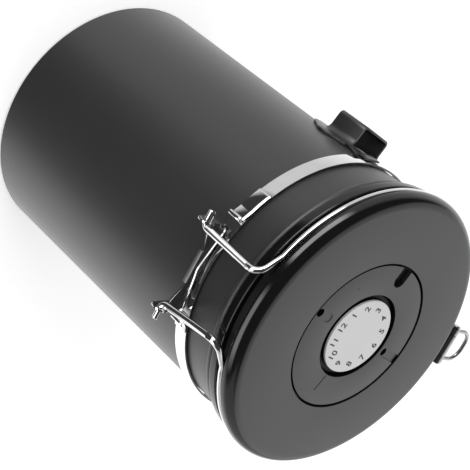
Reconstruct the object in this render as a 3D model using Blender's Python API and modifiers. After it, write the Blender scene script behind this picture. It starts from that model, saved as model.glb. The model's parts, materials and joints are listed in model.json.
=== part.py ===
# Coffee canister with a hinged lid, a wire bail, a latch lever and a month dial.
# The frame: +Z is up, z = 0 is the flat base, the axis of the canister is the Z axis,
# the latch is at -Y and the lid's hinge is at +Y.

from math import acos, asin, atan2, cos, pi, radians, sin, sqrt, tan

import bmesh
import bpy
from mathutils import Matrix, Vector

MM = 0.001

# General clearances and finish of round pieces
SEAT_GAP = 0.3 * MM
RUN_GAP = 0.4 * MM
OVERRUN = 5 * MM
WELD = 0.01 * MM
TURN_STEPS = 48
CORNER_STEPS = 4
SHARP_ANGLE = radians(35)

# Canister shell
BODY_RADIUS = 60 * MM
RIM_TOP = 170.3 * MM
SHELL_WALL = 0.8 * MM
FLOOR_THICKNESS = 1.2 * MM
BASE_EDGE_RADIUS = 1.5 * MM
BEAD_PROUD = 2.3 * MM
BEAD_HEIGHT = 3.8 * MM
BEAD_STEPS = 7

# Clamp band round the neck
BAND_THICKNESS = 0.9 * MM
BAND_WIDTH = 6.9 * MM
BAND_BELOW_RIM = 18.9 * MM

# Band ends: a strap on the band on each side of the latch, with a curled end
BAND_END_THICKNESS = 0.8 * MM
BAND_END_SPAN = radians(13.8)
BAND_END_BEND = radians(3.3)
BAND_END_CURL_RISE = 1.0 * MM
BAND_END_CURL_RADIUS = 0.9 * MM
BAND_END_CURL_TURN = radians(230)
BAND_END_TO_LEVER_GAP = 3.6 * MM

# Lid base: flange ring, neck with the wire groove, plug
FLANGE_HEIGHT = 4.4 * MM
FLANGE_LEDGE = 1.6 * MM
SKIRT_WALL = 0.7 * MM
NECK_WALL = 2 * MM
PLUG_GAP = 4.2 * MM
PLUG_WALL = 2 * MM
PLUG_DEPTH = 9.3 * MM
LID_FLOOR = 2 * MM
GASKET_HEIGHT = 1.7 * MM
GASKET_INSIDE_BORE = 1.2 * MM
GASKET_BEYOND_BEAD = 0.1 * MM

# Lid cap: the dome with the recess for the month ring
CAP_OVERHANG = 1.36 * MM
CAP_HEIGHT = 6 * MM
CAP_EDGE_RADIUS = 5.4 * MM
CAP_WALL = 2.2 * MM
RECESS_DEPTH = 3.2 * MM
RECESS_FLOOR = 1.8 * MM
BOSS_WALL = 1.93 * MM
BOSS_BELOW_TOP = 0.3 * MM
VENT_RADIUS = 1.5 * MM
VENT_ANGLES = (radians(30), radians(150), radians(270))

# Month ring and label disc
RING_BORE_GAP = 0.5 * MM
RING_WIDTH = 14.4 * MM
RING_SLOT_LENGTH = 9.3 * MM
RING_SLOT_WIDTH = 6.6 * MM
RING_SLOT_ANGLE = radians(167.8)
RING_SLOT_FLOOR = 1 * MM
POINTER_ANGLE = radians(-16.7)
POINTER_INSET = 0.7 * MM
POINTER_LENGTH = 7.4 * MM
POINTER_WIDTH = 0.7 * MM
POINTER_DEPTH = 0.4 * MM
SNAP_HOLE_RADIUS = 1.6 * MM
INNER_SNAP_INSET = 3.7 * MM
OUTER_SNAP_INSET = 2.5 * MM
INNER_SNAP_ANGLE = radians(75.8)
OUTER_SNAP_ANGLE = radians(-104.7)
LABEL_RADIUS = 17.17 * MM
LABEL_THICKNESS = 1.1 * MM

# Bail wire
WIRE_RADIUS = 1.4 * MM
ARM_TOP_SPREAD = 15.9 * MM
ARM_TOP_BEYOND_RING = 3.6 * MM
ARM_BEND_BEYOND_RING = 2.8 * MM
ARM_TOP_BELOW_WIRE = 6.5 * MM
WIRE_LEAVES_GROOVE = radians(21)
WIRE_TOP_BEND = 5 * MM
WIRE_FOOT_BEND = 2 * MM
PIN_BEYOND_BAND = 9.1 * MM
PIN_BELOW_BAND_TOP = 4.7 * MM
PIN_TIP_PROUD = 4.4 * MM

# Latch lever
LEVER_SHEET = 0.9 * MM
LEVER_WEB_ABOVE_PIN = 0.9 * MM
LEVER_HALF_WIDTH = 20.3 * MM
LEVER_KNEE_TO_EAR = 4.3 * MM
LEVER_MIDDLE_TO_BAND_GAP = 1.8 * MM
LEVER_SIDE_TO_BAND_GAP = 1 * MM
LEVER_SIDE_BEHIND_PIN = 2.3 * MM
LEVER_LIP_BEHIND_PIN = 5.7 * MM
LIP_HALF_WIDTH = 7.3 * MM
LIP_PROUD = 0.5 * MM
LIP_DROP = 1.5 * MM
LIP_BEND = 1 * MM
LIP_SHEET = 0.8 * MM
EAR_EYE_WALL = 1.5 * MM
EAR_NECK_ANGLE = radians(115)
EAR_TIP_RADIUS = 1.6 * MM
EAR_TIP_DROP = 2.2 * MM
EAR_TIP_OUT = 1 * MM
EAR_ROOT_HEIGHT = 7.7 * MM
EAR_PROUD = 0.2 * MM
ARM_TO_EAR_GAP = 0.3 * MM

# Rear hinge
HINGE_TO_CAP_GAP = 2.84 * MM
HINGE_ABOVE_WIRE = 4.25 * MM
HINGE_HALF_WIDTH = 8.75 * MM
HINGE_PIN_RADIUS = 1.2 * MM
HINGE_SHEET = 0.8 * MM
KNUCKLE_WIDTH = 3.15 * MM
KNUCKLE_END = radians(110)
PIN_HEAD_PROUD = 0.7 * MM
PIN_HEAD_LENGTH = 0.8 * MM
STRAP_TO_GROOVE_GAP = 0.25 * MM
BRACKET_KNEE_ABOVE_BAND = 7.1 * MM
WINDOW_TO_STRAP_GAP = 1.1 * MM
LOOP_WIRE_RADIUS = 0.95 * MM
LOOP_LENGTH = 13.5 * MM
LOOP_CORNER_RADIUS = 6 * MM

# Scoop holder
SCOOP_AZIMUTH = radians(167.5)
SCOOP_SHEET = 1 * MM
SCOOP_HALF_WIDTH = 9.6 * MM
SCOOP_DEPTH = 10.1 * MM
SCOOP_FOOT_LENGTH = 3.9 * MM
SCOOP_FOOT_SINK = 0.1 * MM
SCOOP_FOOT_RADIUS = 2.6 * MM
SCOOP_CORNER_RADIUS = 1.8 * MM
SCOOP_BELOW_BAND = 26 * MM
SCOOP_HEIGHT = 15 * MM
PLATE_SHEET = 0.9 * MM
PLATE_BELOW_SCOOP = 10.5 * MM
LEAF_BEYOND_FOOT = 5 * MM
LEAF_SIDE_HEIGHT = 4 * MM
LEAF_CORNER_RADIUS = 5 * MM
PLATE_NECK_HALF_WIDTH = 12.5 * MM
PLATE_TOP_HALF_WIDTH = 17 * MM
PLATE_OVER_BAND = 4.7 * MM
PLATE_STEP_HEIGHT = 1 * MM

# Valve in the plug
VALVE_BODY_RADIUS = 9.2 * MM
VALVE_WALL = 1.4 * MM
VALVE_FLANGE_LEDGE = 2.8 * MM
VALVE_FLANGE_HEIGHT = 1.2 * MM
SEAT_THICKNESS = 1 * MM
SEAT_BELOW_FLOOR = 1.6 * MM
SEAT_VENT_RADIUS = 1.2 * MM
SEAT_VENT_ORBIT = 4 * MM
SEAT_VENTS = 4
FLAP_INSET = 1 * MM
FLAP_THICKNESS = 0.8 * MM
VALVE_CAP_INSET = 1 * MM
VALVE_CAP_THICKNESS = 1.2 * MM
FILTER_THICKNESS = 1.6 * MM
GRILLE_THICKNESS = 0.8 * MM
GRILLE_VENT_RADIUS = 1.1 * MM
GRILLE_VENT_ORBIT = 5.2 * MM
GRILLE_VENTS = 6

# Radii that follow from the sizes above
SHELL_BORE = BODY_RADIUS - SHELL_WALL
BAND_INNER = BODY_RADIUS + SEAT_GAP
BAND_OUTER = BAND_INNER + BAND_THICKNESS
GASKET_RADIUS = BODY_RADIUS + BEAD_PROUD + GASKET_BEYOND_BEAD
GASKET_INNER_RADIUS = SHELL_BORE - GASKET_INSIDE_BORE
SKIRT_INNER_RADIUS = GASKET_RADIUS + RUN_GAP
FLANGE_RADIUS = SKIRT_INNER_RADIUS + SKIRT_WALL
NECK_RADIUS = FLANGE_RADIUS - FLANGE_LEDGE
NECK_INNER_RADIUS = NECK_RADIUS - NECK_WALL
CAP_RADIUS = FLANGE_RADIUS + CAP_OVERHANG
PLUG_RADIUS = SHELL_BORE - PLUG_GAP
WIRE_RING_RADIUS = NECK_RADIUS + SEAT_GAP + WIRE_RADIUS
BOSS_RADIUS = LABEL_RADIUS + SEAT_GAP + BOSS_WALL
RING_INNER_RADIUS = BOSS_RADIUS + RING_BORE_GAP
RING_RADIUS = RING_INNER_RADIUS + RING_WIDTH
RECESS_RADIUS = RING_RADIUS + RUN_GAP
VALVE_BORE = VALVE_BODY_RADIUS - VALVE_WALL
VALVE_FLANGE_RADIUS = VALVE_BODY_RADIUS + VALVE_FLANGE_LEDGE
PLATE_OUTER = BAND_INNER + PLATE_SHEET
EAR_BORE_RADIUS = WIRE_RADIUS + SEAT_GAP
EAR_EYE_RADIUS = EAR_BORE_RADIUS + EAR_EYE_WALL
STRAP_EYE_RADIUS = WIRE_RADIUS + SEAT_GAP
STRAP_EYE_OUTER = STRAP_EYE_RADIUS + HINGE_SHEET
HINGE_BORE_RADIUS = HINGE_PIN_RADIUS + SEAT_GAP
HINGE_ROLL_RADIUS = HINGE_BORE_RADIUS + HINGE_SHEET / 2
HINGE_EYE_OUTER = HINGE_BORE_RADIUS + HINGE_SHEET

# Heights that follow from the sizes above
BEAD_MIDDLE = RIM_TOP - BEAD_HEIGHT / 2
BAND_TOP = RIM_TOP - BAND_BELOW_RIM
BAND_BOTTOM = BAND_TOP - BAND_WIDTH
GROOVE_HEIGHT = 2 * (STRAP_EYE_OUTER + STRAP_TO_GROOVE_GAP)
FLANGE_BOTTOM = RIM_TOP + SEAT_GAP
GROOVE_BOTTOM = FLANGE_BOTTOM + FLANGE_HEIGHT
CAP_BOTTOM = GROOVE_BOTTOM + GROOVE_HEIGHT
CAP_TOP = CAP_BOTTOM + CAP_HEIGHT
WIRE_HEIGHT = GROOVE_BOTTOM + GROOVE_HEIGHT / 2
RECESS_BOTTOM = CAP_TOP - RECESS_DEPTH
RING_BOTTOM = RECESS_BOTTOM + SEAT_GAP
LID_PLUG_BOTTOM = RIM_TOP - PLUG_DEPTH
LID_FLOOR_TOP = LID_PLUG_BOTTOM + LID_FLOOR
GASKET_ROOF = FLANGE_BOTTOM + GASKET_HEIGHT + SEAT_GAP
SEAT_TOP = LID_FLOOR_TOP - SEAT_BELOW_FLOOR
SEAT_BOTTOM = SEAT_TOP - SEAT_THICKNESS
FILTER_BOTTOM = SEAT_BOTTOM - SEAT_GAP - FILTER_THICKNESS
PIN_HEIGHT = BAND_TOP - PIN_BELOW_BAND_TOP
WEB_TOP = PIN_HEIGHT + LEVER_WEB_ABOVE_PIN
HINGE_HEIGHT = WIRE_HEIGHT + HINGE_ABOVE_WIRE
SCOOP_BOTTOM = BAND_BOTTOM - SCOOP_BELOW_BAND
PLATE_BOTTOM = SCOOP_BOTTOM - PLATE_BELOW_SCOOP

# Places near the latch and the hinge that follow from the sizes above
PIN_REACH = BAND_OUTER + PIN_BEYOND_BAND
PIN_TIP_SPREAD = LEVER_HALF_WIDTH + PIN_TIP_PROUD
EAR_MIDDLE = LEVER_HALF_WIDTH - LEVER_SHEET / 2
ARM_FOOT_SPREAD = LEVER_HALF_WIDTH - LEVER_SHEET - ARM_TO_EAR_GAP - WIRE_RADIUS
LEVER_INNER_REACH_MIDDLE = BAND_OUTER + LEVER_MIDDLE_TO_BAND_GAP
LEVER_INNER_REACH_SIDE = sqrt(BAND_OUTER**2 - EAR_MIDDLE**2) + LEVER_SIDE_TO_BAND_GAP
LEVER_OUTER_REACH_SIDE = PIN_REACH - LEVER_SIDE_BEHIND_PIN
LEVER_OUTER_REACH_LIP = PIN_REACH - LEVER_LIP_BEHIND_PIN
HINGE_REACH = CAP_RADIUS + HINGE_TO_CAP_GAP + HINGE_EYE_OUTER
HINGE_STRAP_HALF_WIDTH = HINGE_HALF_WIDTH - KNUCKLE_WIDTH - RUN_GAP
WINDOW_HALF_WIDTH = HINGE_HALF_WIDTH - KNUCKLE_WIDTH
LOOP_HALF_WIDTH = HINGE_HALF_WIDTH - KNUCKLE_WIDTH / 2

for old in list(bpy.data.objects):
    bpy.data.objects.remove(old, do_unlink=True)


def collection(name):
    made = bpy.data.collections.new(name)
    bpy.context.scene.collection.children.link(made)
    return made


canister = collection("coffee_canister")
cutters = collection("cutters")


def material(name, colour, roughness, metallic):
    made = bpy.data.materials.new(name)
    made.use_nodes = True
    shader = made.node_tree.nodes["Principled BSDF"]
    shader.inputs["Base Color"].default_value = (*colour, 1)
    shader.inputs["Roughness"].default_value = roughness
    shader.inputs["Metallic"].default_value = metallic
    made.diffuse_color = (*colour, 1)
    return made


black_coat = material("black_coat", (0.045, 0.045, 0.047), 0.45, 0.0)
gloss_black = material("gloss_black", (0.03, 0.03, 0.031), 0.18, 0.0)
satin_black = material("satin_black", (0.05, 0.05, 0.052), 0.38, 0.0)
polished_steel = material("polished_steel", (0.8, 0.8, 0.8), 0.12, 1.0)
silicone = material("silicone", (0.55, 0.55, 0.54), 0.6, 0.0)
label_grey = material("label_grey", (0.62, 0.62, 0.62), 0.5, 0.0)
white_plastic = material("white_plastic", (0.7, 0.7, 0.69), 0.45, 0.0)
filter_felt = material("filter_felt", (0.75, 0.73, 0.68), 0.9, 0.0)


def new_object(name, data, look=None, group=None):
    made = bpy.data.objects.new(name, data)
    (group or canister).objects.link(made)
    if look:
        data.materials.append(look)
    return made


def settled(item):
    # Replaces an object by the mesh that its curve or modifiers give, welded and shaded.
    bpy.context.view_layer.update()
    seen = item.evaluated_get(bpy.context.evaluated_depsgraph_get())
    mesh = bpy.data.meshes.new_from_object(seen)
    work = bmesh.new()
    work.from_mesh(mesh)
    bmesh.ops.remove_doubles(work, verts=work.verts, dist=WELD)
    work.to_mesh(mesh)
    work.free()
    mesh.shade_smooth()
    mesh.set_sharp_from_angle(angle=SHARP_ANGLE)
    name, place, group = item.name, item.matrix_world.copy(), item.users_collection[0]
    old = item.data
    bpy.data.objects.remove(item, do_unlink=True)
    bpy.data.batch_remove([old])
    made = bpy.data.objects.new(name, mesh)
    made.matrix_world = place
    group.objects.link(made)
    return made


def turned(name, profile, look=None, closed=False, group=None):
    # A profile of (radius, height) turned round Z. Its points run down the outer side.
    points = [(radius, 0, height) for radius, height in profile]
    edges = [(i, i + 1) for i in range(len(points) - 1)]
    if closed:
        edges.append((len(points) - 1, 0))
    mesh = bpy.data.meshes.new(name)
    mesh.from_pydata(points, edges, [])
    made = new_object(name, mesh, look, group)
    screw = made.modifiers.new("turn", "SCREW")
    screw.axis = "Z"
    screw.steps = TURN_STEPS
    screw.render_steps = TURN_STEPS
    screw.use_merge_vertices = True
    screw.merge_threshold = WELD
    screw.use_smooth_shade = True
    return settled(made)


def disc(name, radius, bottom, thickness, look):
    top = bottom + thickness
    return turned(name, [(0, top), (radius, top), (radius, bottom), (0, bottom)], look)


def wire(name, points, radius, look, resolution=2):
    # A round wire through 3D points, with flat ends.
    curve = bpy.data.curves.new(name, "CURVE")
    curve.dimensions = "3D"
    curve.bevel_depth = radius
    curve.bevel_resolution = resolution
    curve.use_fill_caps = True
    line = curve.splines.new("POLY")
    line.points.add(len(points) - 1)
    for spot, point in zip(line.points, points):
        spot.co = (*point, 1)
    return settled(new_object(name, curve, look))


def plate(name, outlines, thickness, place, look=None, group=None):
    # A flat sheet: 2D outlines, holes included, filled and given a thickness.
    curve = bpy.data.curves.new(name, "CURVE")
    curve.dimensions = "2D"
    curve.fill_mode = "BOTH"
    curve.extrude = thickness / 2
    for outline in outlines:
        line = curve.splines.new("POLY")
        line.points.add(len(outline) - 1)
        line.use_cyclic_u = True
        for spot, point in zip(line.points, outline):
            spot.co = (point[0], point[1], 0, 1)
    made = new_object(name, curve, look, group)
    made.matrix_world = place
    return settled(made)


def rod(name, radius, length, place, look=None, group=None, sides=24):
    mesh = bpy.data.meshes.new(name)
    work = bmesh.new()
    bmesh.ops.create_cone(work, cap_ends=True, segments=sides, radius1=radius, radius2=radius, depth=length)
    work.to_mesh(mesh)
    work.free()
    made = new_object(name, mesh, look, group)
    made.matrix_world = place
    mesh.shade_smooth()
    mesh.set_sharp_from_angle(angle=SHARP_ANGLE)
    return made


def block(name, size, place, group=None):
    mesh = bpy.data.meshes.new(name)
    work = bmesh.new()
    bmesh.ops.create_cube(work, size=1, matrix=Matrix.Diagonal((*size, 1)))
    work.to_mesh(mesh)
    work.free()
    made = new_object(name, mesh, None, group or cutters)
    made.matrix_world = place
    return made


def combine(item, tool, operation):
    # A Boolean whose result replaces the item; the tool stays as a hidden cutter.
    if tool.name not in cutters.objects:
        for group in list(tool.users_collection):
            group.objects.unlink(tool)
        cutters.objects.link(tool)
    tool.hide_render = True
    tool.display_type = "WIRE"
    step = item.modifiers.new(operation.lower(), "BOOLEAN")
    step.operation = operation
    step.object = tool
    step.solver = "EXACT"
    return settled(item)


def arc(centre, radius, start, end, steps):
    # Points on a circle from one angle to another, both ends included.
    turn = (end - start) / steps
    return [(centre[0] + radius * cos(start + i * turn), centre[1] + radius * sin(start + i * turn))
            for i in range(steps + 1)]


def circle(centre, radius, steps=20):
    return arc(centre, radius, 0, 2 * pi, steps)[:-1]


def rounded(points, radii, closed=False, steps=CORNER_STEPS):
    # A path or outline, in 2D or 3D, with an arc of the given radius at each corner.
    spots = [Vector((*p, 0)) if len(p) == 2 else Vector(p) for p in points]
    count = len(spots)
    path = []
    for i, spot in enumerate(spots):
        radius = radii[i] if isinstance(radii, (list, tuple)) else radii
        if radius == 0 or (not closed and i in (0, count - 1)):
            path.append(spot)
            continue
        back = (spots[i - 1] - spot).normalized()
        ahead = (spots[(i + 1) % count] - spot).normalized()
        half = back.angle(ahead) / 2
        middle = spot + (back + ahead).normalized() * (radius / sin(half))
        first = spot + back * (radius / tan(half)) - middle
        last = spot + ahead * (radius / tan(half)) - middle
        sweep = first.angle(last)
        for k in range(steps + 1):
            share = k / steps
            turned_spot = first * sin((1 - share) * sweep) + last * sin(share * sweep)
            path.append(middle + turned_spot / sin(sweep))
    return path


def strip(path, thickness):
    # The outline of a bent sheet, from the path of its middle line.
    spots = [Vector(p).to_2d() if not isinstance(p, Vector) else p.to_2d() for p in path]
    left, right = [], []
    for i, spot in enumerate(spots):
        back = (spot - spots[i - 1]).normalized() if i > 0 else None
        ahead = (spots[i + 1] - spot).normalized() if i < len(spots) - 1 else None
        along = ((back or ahead) + (ahead or back)).normalized()
        across = Vector((-along.y, along.x))
        squeeze = along.dot(ahead or back)
        offset = across * (thickness / 2 / squeeze)
        left.append(spot + offset)
        right.append(spot - offset)
    return left + right[::-1]


def facing(x_axis, y_axis, origin=(0, 0, 0)):
    # The placing of a flat outline whose x and y run along the given directions.
    x_axis, y_axis = Vector(x_axis), Vector(y_axis)
    z_axis = x_axis.cross(y_axis)
    turn = Matrix((x_axis, y_axis, z_axis)).transposed().to_4x4()
    return Matrix.Translation(Vector(origin)) @ turn


FRONT_SECTION = facing((0, -1, 0), (0, 0, 1))
REAR_SECTION = facing((0, 1, 0), (0, 0, 1))
PLAN_FRONT = facing((1, 0, 0), (0, -1, 0))
ALONG_X = Matrix.Rotation(pi / 2, 4, "Y")


def at(place, turn=None):
    made = Matrix.Translation(Vector(place))
    return made @ turn if turn else made


def polar(radius, angle, height=0.0):
    return Vector((radius * cos(angle), radius * sin(angle), height))


def front(side, reach, height):
    # A point near the latch: sideways place, reach out from the axis, height.
    return Vector((side, -reach, height))


def make_shell():
    bead_half = (SHELL_WALL + BEAD_PROUD) / 2
    bead_centre = SHELL_BORE + bead_half
    bead = []
    for i in range(BEAD_STEPS + 1):
        turn = pi * i / BEAD_STEPS
        bead.append((bead_centre - bead_half * cos(turn), BEAD_MIDDLE + BEAD_HEIGHT / 2 * sin(turn)))
    under = (BODY_RADIUS, BEAD_MIDDLE - BEAD_HEIGHT / 2)
    edge = arc((BODY_RADIUS - BASE_EDGE_RADIUS, BASE_EDGE_RADIUS), BASE_EDGE_RADIUS, 0, -pi / 2, 3)
    low = [(0, FLOOR_THICKNESS), (SHELL_BORE - BASE_EDGE_RADIUS, FLOOR_THICKNESS),
           (SHELL_BORE, FLOOR_THICKNESS + BASE_EDGE_RADIUS)]
    turned("canister_shell", low + bead + [under] + edge + [(0, 0)], black_coat)


def make_band():
    ring = [(BAND_INNER, BAND_TOP), (BAND_OUTER, BAND_TOP),
            (BAND_OUTER, BAND_BOTTOM), (BAND_INNER, BAND_BOTTOM)]
    turned("clamp_band", ring, polished_steel, closed=True)


def make_band_end(name, side):
    # A strap that follows the band, then rises into a small curl beside the latch lever.
    lie = BAND_OUTER + SEAT_GAP + BAND_END_THICKNESS / 2
    curl_orbit = lie + BAND_END_CURL_RISE + BAND_END_CURL_RADIUS
    curl_outer = BAND_END_CURL_RADIUS + BAND_END_THICKNESS / 2
    curl_at = asin((LEVER_HALF_WIDTH + BAND_END_TO_LEVER_GAP + curl_outer) / curl_orbit)
    bend_at = curl_at + BAND_END_BEND
    end_at = curl_at + BAND_END_SPAN
    angles = [end_at + (bend_at - end_at) * i / 3 for i in range(4)]
    path = [(lie * sin(a), lie * cos(a)) for a in angles]
    outward = Vector((sin(curl_at), cos(curl_at)))
    start = atan2(-outward.y, -outward.x)
    path += arc(outward * curl_orbit, BAND_END_CURL_RADIUS, start, start - BAND_END_CURL_TURN, 7)
    path = [(side * x, y) for x, y in path]
    height = (BAND_BOTTOM + BAND_TOP) / 2
    place = facing((1, 0, 0), (0, -1, 0), (0, 0, height))
    plate(name, [strip(path, BAND_END_THICKNESS)], BAND_WIDTH, place, polished_steel)


def make_scoop_holder():
    lean = Matrix.Rotation(SCOOP_AZIMUTH - pi / 2, 4, "Z")
    lie = PLATE_OUTER - SCOOP_FOOT_SINK
    foot_end = SCOOP_HALF_WIDTH + SCOOP_FOOT_LENGTH
    half = [(foot_end, sqrt(lie**2 - foot_end**2)), (SCOOP_HALF_WIDTH, sqrt(lie**2 - SCOOP_HALF_WIDTH**2)),
            (SCOOP_HALF_WIDTH, BODY_RADIUS + SCOOP_DEPTH)]
    path = half + [(-x, y) for x, y in half[::-1]]
    radii = [0, SCOOP_FOOT_RADIUS, SCOOP_CORNER_RADIUS, SCOOP_CORNER_RADIUS, SCOOP_FOOT_RADIUS, 0]
    sleeve_outline = strip(rounded(path, radii), SCOOP_SHEET)
    sleeve_middle = SCOOP_BOTTOM + SCOOP_HEIGHT / 2
    sleeve_place = lean @ at((0, 0, sleeve_middle))
    sleeve = plate("scoop_sleeve", [sleeve_outline], SCOOP_HEIGHT, sleeve_place, satin_black)

    # The back plate: a turned ring that steps out over the band, kept inside a leaf outline.
    top_inner = BAND_OUTER + SEAT_GAP
    top_outer = top_inner + PLATE_SHEET
    step_top = BAND_BOTTOM - SEAT_GAP
    step_bottom = step_top - PLATE_STEP_HEIGHT
    plate_top = BAND_BOTTOM + PLATE_OVER_BAND
    ring_bottom = PLATE_BOTTOM - OVERRUN
    profile = [(top_inner, plate_top), (top_outer, plate_top), (top_outer, step_top),
               (PLATE_OUTER, step_bottom), (PLATE_OUTER, ring_bottom), (BAND_INNER, ring_bottom),
               (BAND_INNER, step_bottom), (top_inner, step_top)]
    holder = turned("scoop_holder", profile, satin_black, closed=True)
    neck = SCOOP_BOTTOM + SCOOP_HEIGHT
    leaf_middle = (PLATE_BOTTOM + neck) / 2
    leaf_half = foot_end + LEAF_BEYOND_FOOT
    side = [(PLATE_TOP_HALF_WIDTH, plate_top + OVERRUN), (PLATE_TOP_HALF_WIDTH, step_bottom),
            (PLATE_NECK_HALF_WIDTH, neck), (leaf_half, leaf_middle + LEAF_SIDE_HEIGHT / 2),
            (leaf_half, leaf_middle - LEAF_SIDE_HEIGHT / 2), (SCOOP_HALF_WIDTH, PLATE_BOTTOM)]
    radii = [0] + [LEAF_CORNER_RADIUS] * (len(side) - 1)
    outline = rounded(side + [(-x, y) for x, y in side[::-1]], radii + radii[::-1], closed=True)
    leaf_place = lean @ facing((1, 0, 0), (0, 0, 1), (0, BODY_RADIUS, 0))
    leaf = plate("scoop_leaf", [outline], BODY_RADIUS, leaf_place)
    holder = combine(holder, leaf, "INTERSECT")
    combine(holder, sleeve, "UNION")


def make_lid_base():
    gasket_wall = GASKET_INNER_RADIUS - SEAT_GAP
    plug_inside = PLUG_RADIUS - PLUG_WALL
    ledge = GASKET_ROOF + SKIRT_WALL
    hole = VALVE_BODY_RADIUS + SEAT_GAP
    neck_top = CAP_BOTTOM - SEAT_GAP
    profile = [(hole, LID_FLOOR_TOP), (plug_inside, LID_FLOOR_TOP), (plug_inside, ledge),
               (NECK_INNER_RADIUS, ledge), (NECK_INNER_RADIUS, neck_top), (NECK_RADIUS, neck_top),
               (NECK_RADIUS, GROOVE_BOTTOM), (FLANGE_RADIUS, GROOVE_BOTTOM), (FLANGE_RADIUS, FLANGE_BOTTOM),
               (SKIRT_INNER_RADIUS, FLANGE_BOTTOM), (SKIRT_INNER_RADIUS, GASKET_ROOF),
               (gasket_wall, GASKET_ROOF), (gasket_wall, FLANGE_BOTTOM), (PLUG_RADIUS, FLANGE_BOTTOM),
               (PLUG_RADIUS, LID_PLUG_BOTTOM), (hole, LID_PLUG_BOTTOM)]
    base = turned("lid_base", profile, gloss_black, closed=True)
    # A notch at the back of the neck, where the hinge strap wraps the wire.
    depth = WIRE_RING_RADIUS - STRAP_EYE_OUTER - SEAT_GAP
    size = (2 * WINDOW_HALF_WIDTH, OVERRUN, GROOVE_HEIGHT + OVERRUN)
    notch = block("strap_notch", size, at((0, depth + OVERRUN / 2, GROOVE_BOTTOM + size[2] / 2)))
    combine(base, notch, "DIFFERENCE")


def make_lid_cap():
    edge_middle = (CAP_RADIUS - CAP_EDGE_RADIUS, CAP_TOP - CAP_EDGE_RADIUS)
    edge = arc(edge_middle, CAP_EDGE_RADIUS, pi / 2, 0, 6)
    recess_under = RECESS_BOTTOM - RECESS_FLOOR
    boss_top = CAP_TOP - BOSS_BELOW_TOP
    label_floor = CAP_TOP - LABEL_THICKNESS - SEAT_GAP
    label_hole = LABEL_RADIUS + SEAT_GAP
    seat = NECK_INNER_RADIUS - RUN_GAP
    ceiling = CAP_TOP - CAP_WALL
    recess_outer = RECESS_RADIUS + CAP_WALL
    profile = [(0, label_floor), (label_hole, label_floor), (label_hole, boss_top),
               (BOSS_RADIUS, boss_top), (BOSS_RADIUS, RECESS_BOTTOM), (RECESS_RADIUS, RECESS_BOTTOM),
               (RECESS_RADIUS, CAP_TOP)]
    profile += edge
    profile += [(CAP_RADIUS, CAP_BOTTOM), (seat, CAP_BOTTOM), (seat, ceiling), (recess_outer, ceiling),
                (recess_outer, recess_under), (0, recess_under)]
    cap = turned("lid_cap", profile, gloss_black)
    vent_orbit = (RING_INNER_RADIUS + RING_RADIUS) / 2
    for number, angle in enumerate(VENT_ANGLES):
        place = polar(vent_orbit, angle, RECESS_BOTTOM)
        cap = combine(cap, rod(f"vent_{number}", VENT_RADIUS, OVERRUN, at(place), sides=12), "DIFFERENCE")


def make_gasket():
    top = FLANGE_BOTTOM + GASKET_HEIGHT
    ring = [(GASKET_INNER_RADIUS, top), (GASKET_RADIUS, top),
            (GASKET_RADIUS, FLANGE_BOTTOM), (GASKET_INNER_RADIUS, FLANGE_BOTTOM)]
    turned("lid_gasket", ring, silicone, closed=True)


def make_month_ring():
    profile = [(RING_INNER_RADIUS, CAP_TOP), (RING_RADIUS, CAP_TOP),
               (RING_RADIUS, RING_BOTTOM), (RING_INNER_RADIUS, RING_BOTTOM)]
    ring = turned("month_ring", profile, satin_black, closed=True)

    slot_depth = CAP_TOP - RING_BOTTOM - RING_SLOT_FLOOR
    slot_size = (RING_SLOT_LENGTH + OVERRUN, RING_SLOT_WIDTH, 2 * slot_depth)
    slot_orbit = RING_RADIUS + (OVERRUN - RING_SLOT_LENGTH) / 2
    slot_place = at(polar(slot_orbit, RING_SLOT_ANGLE, CAP_TOP), Matrix.Rotation(RING_SLOT_ANGLE, 4, "Z"))
    ring = combine(ring, block("ring_slot", slot_size, slot_place), "DIFFERENCE")

    line_size = (POINTER_LENGTH, POINTER_WIDTH, 2 * POINTER_DEPTH)
    line_orbit = RING_INNER_RADIUS + POINTER_INSET + POINTER_LENGTH / 2
    line_place = at(polar(line_orbit, POINTER_ANGLE, CAP_TOP), Matrix.Rotation(POINTER_ANGLE, 4, "Z"))
    ring = combine(ring, block("pointer_line", line_size, line_place), "DIFFERENCE")

    inner_snap = polar(RING_INNER_RADIUS + INNER_SNAP_INSET, INNER_SNAP_ANGLE, CAP_TOP)
    outer_snap = polar(RING_RADIUS - OUTER_SNAP_INSET, OUTER_SNAP_ANGLE, CAP_TOP)
    for name, place in (("inner_snap_hole", inner_snap), ("outer_snap_hole", outer_snap)):
        hole = rod(name, SNAP_HOLE_RADIUS, 2 * OVERRUN, at(place), sides=12)
        ring = combine(ring, hole, "DIFFERENCE")


def make_label():
    disc("label_disc", LABEL_RADIUS, CAP_TOP - LABEL_THICKNESS, LABEL_THICKNESS, label_grey)


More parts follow.
